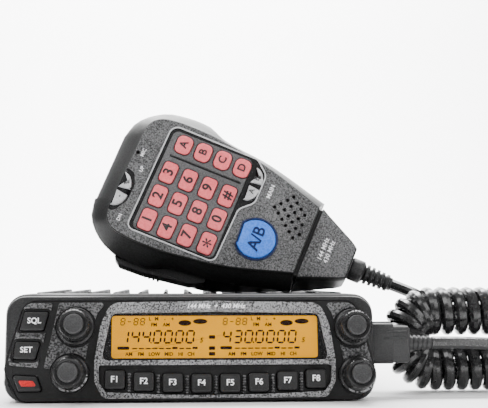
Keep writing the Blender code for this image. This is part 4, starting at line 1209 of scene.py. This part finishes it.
def make_front_keys():
    """The eight keys under the display, with their legends and the ribs between them."""
    for index, name in enumerate(FRONT_KEYS):
        x, y = front_key_place(index)
        outline = rounded(rectangle(FRONT_KEY_SIZE, (x, y)), FRONT_KEY_CORNER, 4)
        key = key_body(name + "_cap", outline, FLANGE_LEVELS, FRONT_KEY_TOP, FRONT_KEY_EDGE,
                       dish=FRONT_KEY_DISH)
        set_down(key, FACE, name, "key_satin", name)
        legend = lettering(name + "_legend", "F" + str(index + 1), FRONT_LEGEND_SIZE,
                           (x, y + 0.1), FRONT_KEY_TOP - 0.09, weight=0.018)
        set_down(legend, FACE, name, "legend_white")
    ribs = []
    for index in range(len(FRONT_KEYS) - 1):
        middle = (Vector(front_key_place(index)) + Vector(front_key_place(index + 1))) / 2
        for step in range(-3, 4):
            place = (middle.x, middle.y - BEAD_DROP + BEAD_PITCH * step)
            bead = rounded(rectangle(BEAD_SIZE, place), 0.3, 2)
            ribs.append(slab("bead", bead, PAD_FOOT, BEAD_TOP))
    set_down(softened(joined("key_ribs", ribs), 0.15), FACE, "radio", "wrinkle")


def make_side_keys():
    """The two keys and the lit power key at the left end."""
    for name, corners in SIDE_KEYS.items():
        key = key_body(name + "_cap", rounded(corners, SIDE_KEY_CORNER, 4), FLANGE_LEVELS,
                       SIDE_KEY_TOP, SIDE_KEY_EDGE, dish=SIDE_KEY_DISH)
        set_down(key, FACE, name, "key_satin", name)
    for name, (text, place) in SIDE_LEGENDS.items():
        legend = lettering(name + "_legend", text, SIDE_LEGEND_SIZE, place,
                           SIDE_KEY_TOP + SIDE_KEY_DISH, weight=0.018)
        set_down(legend, FACE, name, "legend_white")
    corners = [Vector(corner) for corner in SIDE_KEYS["power_key"]]
    middle = sum(corners, Vector((0.0, 0.0))) / len(corners)
    glow = [middle + (corner - middle) * Vector(POWER_LIGHT_SHARE) for corner in corners]
    light = slab("power_light", rounded(glow, 0.5), SIDE_KEY_TOP, SIDE_KEY_TOP + POWER_LIGHT_RISE)
    set_down(softened(light, 0.06), FACE, "power_key", "red_glow")


def knob_ring(centre, radius, level, ripple):
    """A ring of a knob, rippled where the knob is gripped."""
    ring = []
    for side in range(KNOB_SIDES):
        reach = radius + ripple * math.cos(side * math.tau / GRIP_SIDES)
        ring.append((*on_circle(centre, reach, math.tau * side / KNOB_SIDES), level))
    return ring


def make_knobs():
    """Four stepped knobs: smooth skirt, finely ribbed cone, raised cap; painted highlights on two."""
    for name, place in KNOBS.items():
        knob = stacked(name + "_body", [knob_ring(place, *row) for row in KNOB_RINGS])
        set_down(knob, FACE, name, "knob_black", name)
        cap = stacked(name + "_cap", [knob_ring(place, *row) for row in KNOB_CAP_RINGS])
        set_down(cap, FACE, name, "knob_cap")
        if name.startswith("volume"):
            make_knob_highlights(name, place)


def make_knob_highlights(name, centre):
    """Pale arcs round the lower right of a volume knob's skirt: painted highlights."""
    marks = []
    inner, outer = KNOB_HIGHLIGHT_RADII
    for first, last in KNOB_HIGHLIGHT_SPANS:
        angles = [math.radians(first + (last - first) * step / 4) for step in range(5)]
        outline = ([on_circle(centre, outer, angle) for angle in angles]
                   + [on_circle(centre, inner, angle) for angle in reversed(angles)])
        marks.append(slab("mark", outline, *KNOB_HIGHLIGHT_LEVELS))
    # The pale arcs are painted highlights on the skirt
    set_down(joined(name + "_marks", marks), FACE, name, "knob_painted_highlight")


make_chassis()
make_head_case()
make_head_bezel()
make_plate()
make_pads()
make_panel()
make_front_keys()
make_side_keys()
make_knobs()


# ---------------------------------------------------------------- display

SEGMENTS = {"0": "abcdef", "1": "bc", "3": "abcdg", "4": "bcfg", "8": "abcdefg"}


def lit(name, outline):
    """A thin dark mark on the display."""
    return slab(name, outline, LCD_LEVEL, LCD_LEVEL + MARK_RISE)


def digit(character, size, place, slant=0.12):
    """The lit bars of a seven-segment digit, its foot's left end at a place."""
    width, height = size
    thick = height * 0.15
    gap = thick * 0.25
    half = height / 2
    side = thick / 2
    across_bars = {"a": height, "g": half, "d": 0.0}
    upright_bars = {"f": (0.0, half), "b": (width, half), "e": (0.0, 0.0), "c": (width, 0.0)}
    bars = []
    for bar in SEGMENTS[character]:
        if bar in across_bars:
            y = across_bars[bar]
            corners = [(gap + side, y - side), (width - gap - side, y - side), (width - gap, y),
                       (width - gap - side, y + side), (gap + side, y + side), (gap, y)]
        else:
            x, y = upright_bars[bar]
            foot, head = y + gap, y + half - gap
            corners = [(x - side, foot + side), (x, foot), (x + side, foot + side),
                       (x + side, head - side), (x, head), (x - side, head - side)]
        bars.append(lit("bar", [(place[0] + x + y * slant, place[1] + y) for x, y in corners]))
    return bars


def reading(name, text, size, pitch, place):
    """A number of seven-segment digits, with its point or dash."""
    parts = []
    x, y = place
    for character in text:
        if character == ".":
            parts.append(lit("point", rectangle((0.55, 0.55), (x - pitch * 0.20, y + 0.1))))
            continue
        if character == "-":
            middle = (x + size[0] * 0.6, y + size[1] / 2)
            parts.append(lit("dash", rectangle((size[0] * 0.8, 0.32), middle)))
        else:
            parts += digit(character, size, (x, y))
        x += pitch
    set_down(joined(name, parts), FACE, "radio", "segment_brown")


def make_meter(name, left):
    """A row of meter bars with its end block, and the two lozenges above."""
    parts = []
    first_x, foot = METER_PLACE
    for index in range(METER_BARS):
        height = METER_HEIGHTS[index >= 4 and index % 3 == 0]
        middle = (left + first_x + METER_BAR_PITCH * index, foot + height / 2)
        parts.append(lit("meter_bar", rectangle((METER_BAR_WIDTH, height), middle)))
    end_place = (left + METER_END_PLACE[0], METER_END_PLACE[1])
    parts.append(lit("meter_end", rounded(rectangle(METER_END_SIZE, end_place), 0.4, 2)))
    for x, y, width, height in LOZENGES:
        parts.append(lit("lozenge", [(left + x + across_share * width / 2, y + up_share * height / 2)
                                     for across_share, up_share in circle(1.0, 24)]))
    set_down(joined(name, parts), FACE, "radio", "segment_brown")


def make_display():
    """Two frequency readings with their small numbers, meters and marks."""
    for side, left, frequency in DISPLAY_HALVES:
        reading(side + "_frequency", frequency, FREQUENCY_DIGIT, FREQUENCY_PITCH,
                (left, FREQUENCY_Y))
        reading(side + "_channel", CHANNEL, CHANNEL_DIGIT, CHANNEL_PITCH, (left, CHANNEL_Y))
        make_meter(side + "_meter", left)
        marks = [lettering("mark", text, SMALL_MARK_SIZE, (left + x, y), LCD_LEVEL,
                           weight=0.03, rise=MARK_RISE) for text, x, y in SMALL_MARKS]
        set_down(joined(side + "_marks", marks), FACE, "radio", "segment_brown")
        place = (left + STEP_MARK_PLACE[0], STEP_MARK_PLACE[1])
        tiny = lettering(side + "_unit", "5", STEP_MARK_SIZE, place, LCD_LEVEL,
                         slant=0.2, rise=MARK_RISE)
        set_down(tiny, FACE, "radio", "segment_brown")
    title = lettering("panel_title", "144 MHz  +  430 MHz", TITLE_SIZE, (PANEL_X, TITLE_Y),
                      PANEL_FRONT, slant=0.25)
    set_down(title, FACE, "radio", "legend_white")
    squares = [lit("square", rounded(rectangle(SQUARE_SIZE, (SQUARE_X, y)), 0.3, 2))
               for y in SQUARE_LEVELS]
    set_down(joined("middle_marks", squares), FACE, "radio", "segment_brown")


make_display()


# ---------------------------------------------------------------- microphone

def moon_holes(centre, clearance):
    """The outlines of the holes for a pair of half-moon buttons."""
    return [offset(half_moon(side, centre), clearance) for side in (-1, 1)]


def make_front_shell():
    """The front shell, rising from the parting line to the face, with its grille and key wells."""
    face = mirrored(smooth_half(FACE_HALF))
    parting = mirrored(smooth_half(PARTING_HALF))
    foot = -PARTING_DEPTH + 0.8
    rings = [at(offset(parting, -SHELL_WALL), -PARTING_DEPTH), at(parting, -PARTING_DEPTH),
             at(offset(parting, 0.2), foot)]
    for step in range(1, 7):
        t = step / 6
        rings.append(at(between(parting, face, t ** 1.4 * 0.93), foot + (PARTING_DEPTH - 1.7) * t))
    rings += [at(offset(face, 0.35), -0.35), at(face, -0.08), at(offset(face, -0.5), 0.0),
              at(offset(face, -2.0), 0.0)]
    front = stacked("front_shell", rings)
    small = [circle(GRILLE_HOLE_RADIUS, 10, place) for place in grille_places()]
    small.append(circle(MIC_HOLE_RADIUS, 12, MIC_HOLE_PLACE))
    wells = [offset(band_key_outline(), 1.0)]
    for place in (MAIN_KEYS_PLACE, STEP_KEYS_PLACE):
        wells += moon_holes(place, MOON_CLEARANCE)
    wells.append(offset(rounded(KEYPAD_PLATE, KEYPAD_PLATE_CORNER), 1.2))
    cut(front, cutters(small, -MIC_HOLE_DEPTH, 1.0) + cutters(wells, -KEY_WELL_DEPTH, 1.0))
    grained(front, lambda polygon: polygon.normal.z > 0.9 and polygon.center.z > -0.5)
    set_down(front, MIC, "microphone", None, "mic_front_shell", even_shading=True)


def make_back_shell():
    """The deep back shell, bulging and then rounded off, with a slot for the push-to-talk bar."""
    parting = mirrored(smooth_half(PARTING_HALF))
    bulge = mirrored(smooth_half(BULGE_HALF))
    back = mirrored(smooth_half(BACK_HALF))
    top = -PARTING_DEPTH - PARTING_GAP
    rings = [at(offset(parting, -SHELL_WALL), top), at(parting, top),
             at(offset(parting, 0.15), top - 0.8)]
    for step in range(1, 5):
        t = step / 5
        rings.append(at(between(parting, bulge, t), top + (-BULGE_DEPTH - top) * t))
    for step in range(0, 7):
        angle = math.radians(90 * step / 6)
        rings.append(at(between(bulge, back, 1 - math.cos(angle)),
                        -BULGE_DEPTH - (MIC_DEPTH - BULGE_DEPTH - 0.3) * math.sin(angle)))
    rings.append(at(offset(back, -0.6), -MIC_DEPTH))
    shell = stacked("back_shell", rings)
    xs = [x for x, y in PTT_OUTLINE]
    slot = rectangle((max(xs) - min(xs) + 1.4, 16.0), ((max(xs) + min(xs)) / 2, -34.0))
    low, high = PTT_DEPTHS
    cut(shell, cutters([rounded(slot, 1.0)], low - PTT_SLOT_GAP, high + PTT_SLOT_GAP))
    set_down(shell, MIC, "microphone", "mic_satin", "mic_back_shell", even_shading=True)


def grille_places():
    """The speaker holes: six slanting rows, the last two of them shorter."""
    places = []
    for row, count in enumerate(GRILLE_ROWS):
        start = Vector(GRILLE_FIRST) + row * Vector(GRILLE_ROW_STEP)
        places += [start + hole * Vector(GRILLE_STEP) for hole in range(count)]
    return places


def band_key_outline():
    """A round key with one flat, towards the keypad."""
    flat_angle = math.acos(BAND_KEY_FLAT / BAND_KEY_RADIUS)
    sweep = math.tau - 2 * flat_angle
    return [on_circle(BAND_KEY_PLACE, BAND_KEY_RADIUS, math.pi + flat_angle + sweep * step / 40)
            for step in range(41)]


def half_moon(side, centre):
    """One of a pair of buttons that make a half moon, on one side of the line between them."""
    points = [(-MOON_DEPTH / 2, MOON_GAP)]
    for step in range(MOON_STEPS + 1):
        angle = math.radians(MOON_START + (90 - MOON_START) * step / MOON_STEPS)
        points.append((MOON_DEPTH * math.cos(angle) - MOON_DEPTH / 2,
                       MOON_GAP + MOON_LENGTH * math.sin(angle)))
    if side < 0:
        points = [(x, -y) for x, y in reversed(points)]
    return [(centre[0] + x, centre[1] + y) for x, y in points]


def keypad_outlines():
    """The place and outline of each pink key, by name."""
    outlines = {}
    pitch_x, pitch_y = MIC_KEY_PITCH
    for row, names in enumerate(MIC_KEYS):
        for column, name in enumerate(names):
            place = (MIC_KEY_FIRST[0] + row * pitch_x, MIC_KEY_FIRST[1] + column * pitch_y)
            outlines[name] = (place, rounded(rectangle(MIC_KEY_SIZE, place), MIC_KEY_CORNER))
    for row, name in enumerate(MEMORY_KEYS):
        place = (MEMORY_KEY_FIRST[0] + row * pitch_x, MEMORY_KEY_FIRST[1])
        outlines[name] = (place, rounded(rectangle(MEMORY_KEY_SIZE, place), MEMORY_KEY_CORNER))
    return outlines


def make_keypad():
    """Keypad: thin pale trim, black moat, grey plate and separator, and then the pink keys."""
    trim_line = rounded(TRIM_CORNERS, TRIM_RADII, 6)
    inner_line = offset(trim_line, -TRIM_WIDTH)
    trim = slab("keypad_trim", trim_line, -1.2, 0.45)
    cut(trim, cutters([inner_line], -3.0, 3.0))
    set_down(softened(trim, 0.15), MIC, "microphone", "keypad_trim")
    moat = slab("keypad_moat", inner_line, -1.4, 0.06)
    plate_line = rounded(KEYPAD_PLATE, KEYPAD_PLATE_CORNER)
    moons = moon_holes(MAIN_KEYS_PLACE, MOON_CLEARANCE)
    cut(moat, cutters([offset(plate_line, 0.2), *moons], -3.0, 3.0))
    set_down(moat, MIC, "microphone", "gloss_black")

    keys = keypad_outlines()
    plate = slab("keypad_plate", plate_line, -1.0, 0.3)
    holes = cutters([offset(outline, 0.5) for place, outline in keys.values()], -3.0, 3.0)
    cut(plate, holes + cutters([rounded(SEPARATOR, 0.5)], -0.4, 3.0))
    set_down(softened(plate, 0.12, 2, 50), MIC, "microphone", "keypad_grey")
    bead = rounded(offset(rounded(SEPARATOR, 0.5, 1), -0.3), 0.1, 1)
    set_down(softened(slab("separator_bead", bead, -0.5, -0.1), 0.1), MIC, "microphone",
             "gloss_black")
    for name, (place, outline) in keys.items():
        make_pink_key(name, place, outline)


def make_pink_key(name, place, outline):
    """A pink key in a dark ring of painted shade, and its legend; a star sits high in its letter
    space.
    """
    body = "mic_key_" + name
    key = key_body(body + "_cap", outline, MIC_FLANGE_LEVELS, MIC_KEY_TOP, 0.55, 0.4, dish=0.12)
    set_down(key, MIC, body, "pink", body)
    # A dark pink border round the key: painted shade of the gap between key and plate
    rim = slab(body + "_rim", offset(outline, 0.24), -0.6, 0.45)
    set_down(softened(rim, 0.1), MIC, body, "pink_painted_shade")
    size, weight = LETTER_SIZE if name in MEMORY_KEYS else DIGIT_SIZE, 0.028
    if name == "star":
        place, size, weight = (place[0] + STAR_SHIFT, place[1]), STAR_SIZE, 0.01
    legend = lettering(body + "_legend", MIC_KEY_LEGENDS.get(name, name), size, place,
                       MIC_KEY_TOP + 0.15, turn=math.radians(90), weight=weight)
    set_down(legend, MIC, body, "legend_black")


def make_band_key():
    """The round blue key in its navy ring."""
    outline = band_key_outline()
    key = key_body("band_key_cap", outline, MIC_FLANGE_LEVELS, MIC_KEY_TOP, 0.8, 0.4, dish=0.3)
    set_down(key, MIC, "band_key", "blue", "band_key")
    ring = slab("band_key_ring", offset(outline, 1.0), -1.2, 0.55)
    cut(ring, cutters([offset(outline, 0.25)], -3.0, 3.0))
    set_down(softened(ring, 0.35, 3, 50), MIC, "microphone", "navy")
    legend = lettering("band_key_legend", "A/B", 7.2, (BAND_KEY_PLACE[0] + 0.3, BAND_KEY_PLACE[1]),
                       MIC_KEY_TOP + 0.3, turn=math.radians(90), weight=0.018)
    set_down(legend, MIC, "band_key", "navy")


def make_moon_keys():
    """The two half-moon pairs with their marks, the well round one, and the words on the face."""
    for name, side, centre, mark in MOON_KEYS:
        key = key_body(name + "_cap", half_moon(side, centre), MIC_FLANGE_LEVELS, MIC_KEY_TOP,
                       0.45, 0.2, dish=0.1)
        set_down(key, MIC, name, "pale", name)
        legend = lettering(name + "_legend", mark, 3.4, (centre[0] - 0.5, centre[1] + side * 3.2),
                           MIC_KEY_TOP + 0.08, turn=math.radians(90))
        set_down(legend, MIC, name, "legend_black")
    well = slab("step_key_well", rounded(STEP_WELL_CORNERS, STEP_WELL_RADII), -0.6, 0.12)
    cut(well, cutters(moon_holes(STEP_KEYS_PLACE, 0.35), -3.0, 3.0))
    set_down(softened(well, 0.08, 1, 50), MIC, "microphone", "gloss_black")
    for name, text, place, size in FACE_WORDS:
        legend = lettering(name, text, size, place, 0.02, turn=math.radians(90), weight=0.008)
        set_down(legend, MIC, "microphone", "legend_white")


def along_tail(ends, t):
    """The value part of the way from one end of the tail to the other."""
    return ends[0] + (ends[1] - ends[0]) * t


def make_mic_tail():
    """The tapered end piece with its lettering, and the groove before it."""
    rings = []
    for step in range(TAIL_STEPS + 1):
        t = step / TAIL_STEPS
        half, front, rear = (along_tail(ends, t) for ends in (TAIL_HALF_WIDTH, TAIL_FRONT, TAIL_BACK))
        corners = rectangle((2 * half, front - rear), (0.0, (front + rear) / 2))
        outline = rounded(corners, TAIL_CORNER, 6)
        x = TAIL_PLACE + TAIL_LENGTH * t
        if step == 0:
            rings.append(across(offset(outline, -TAIL_EDGE), x))
            x += 0.35
        if step == TAIL_STEPS:
            rings.append(across(outline, x - TAIL_EDGE))
            outline = offset(outline, -TAIL_EDGE)
        rings.append(across(outline, x))
    tail = stacked("tail", rings)
    grained(tail, lambda polygon: polygon.normal.z > 0.8)
    set_down(tail, MIC, "microphone", None, "mic_tail")
    neck = rounded(rectangle(NECK_SIZE, (0.0, NECK_LEVEL)), 2.5, 5)
    groove = stacked("tail_groove", [across(neck, TAIL_PLACE + x) for x in (-2.0, 1.0)])
    set_down(groove, MIC, "microphone", "gloss_black")
    legend = lettering("tail_mark", TAIL_MARK, TAIL_MARK_SIZE, (0.0, 0.0), 0.0,
                       turn=math.radians(90), weight=0.004)
    slope = math.atan2(TAIL_FRONT[1] - TAIL_FRONT[0], TAIL_LENGTH)
    level = TAIL_FRONT[0] - TAIL_MARK_ALONG * math.tan(-slope) + 0.05
    place = Matrix.Translation((TAIL_PLACE + TAIL_MARK_ALONG, 0.0, level))
    legend.data.transform(place @ Matrix.Rotation(-slope, 4, "Y"))
    set_down(legend, MIC, "microphone", "legend_white")


def make_boot():
    """The ribbed boot of the cord."""
    profile = list(BOOT_COLLAR)
    for rib in range(BOOT_RIBS):
        start = BOOT_FIRST_RIB + BOOT_RIB_PITCH * rib
        radius = BOOT_RIB_RADIUS - BOOT_RIB_TAPER * rib
        profile += [(start - 0.3, BOOT_GROOVE_RADIUS), (start, radius), (start + 1.2, radius),
                    (start + 1.45, BOOT_GROOVE_RADIUS)]
    profile.append(BOOT_TIP)
    rings = [across([(y, z + BOOT_Z) for y, z in circle(radius, 28)], BOOT_PLACE + along)
             for along, radius in profile]
    boot = softened(stacked("boot", rings), 0.15, 1, 40)
    set_down(boot, MIC, "microphone", "boot_rubber", "cord_boot")


def make_back_screws():
    """Four screws in the microphone's back."""
    turned = MIC.to_3x3()
    right, up = (turned @ Vector(axis) for axis in ((1, 0, 0), (0, -1, 0)))
    for x, y in BACK_SCREWS:
        place = MIC @ (Vector((x, y, -MIC_DEPTH + 0.1)) * MM)
        screw("back_screw", place / MM, right, up, BACK_SCREW_RADIUS, "microphone")


def make_ptt_bar():
    """The push-to-talk bar in the lower flank, with grip ribs near its free end."""
    low, high = PTT_DEPTHS
    parts = [softened(slab("ptt", rounded(PTT_OUTLINE, 0.9, 3), low, high), 0.7, 3, 50)]
    first_x, first_y = GRIP_RIB_FIRST
    for index in range(GRIP_RIBS):
        along = GRIP_RIB_PITCH * index
        place = (first_x + along, first_y + GRIP_RIB_SLOPE * along)
        rib = slab("rib", rounded(rectangle((0.9, 1.0), place), 0.3, 2), low + 1.3, high - 1.3)
        parts.append(softened(rib, 0.25, 2, 50))
    set_down(joined("ptt_bar_ribbed", parts), MIC, "ptt_bar", "case_satin", "ptt_bar")


make_front_shell()
make_back_shell()
make_keypad()
make_band_key()
make_moon_keys()
make_mic_tail()
make_boot()
make_back_screws()
make_ptt_bar()
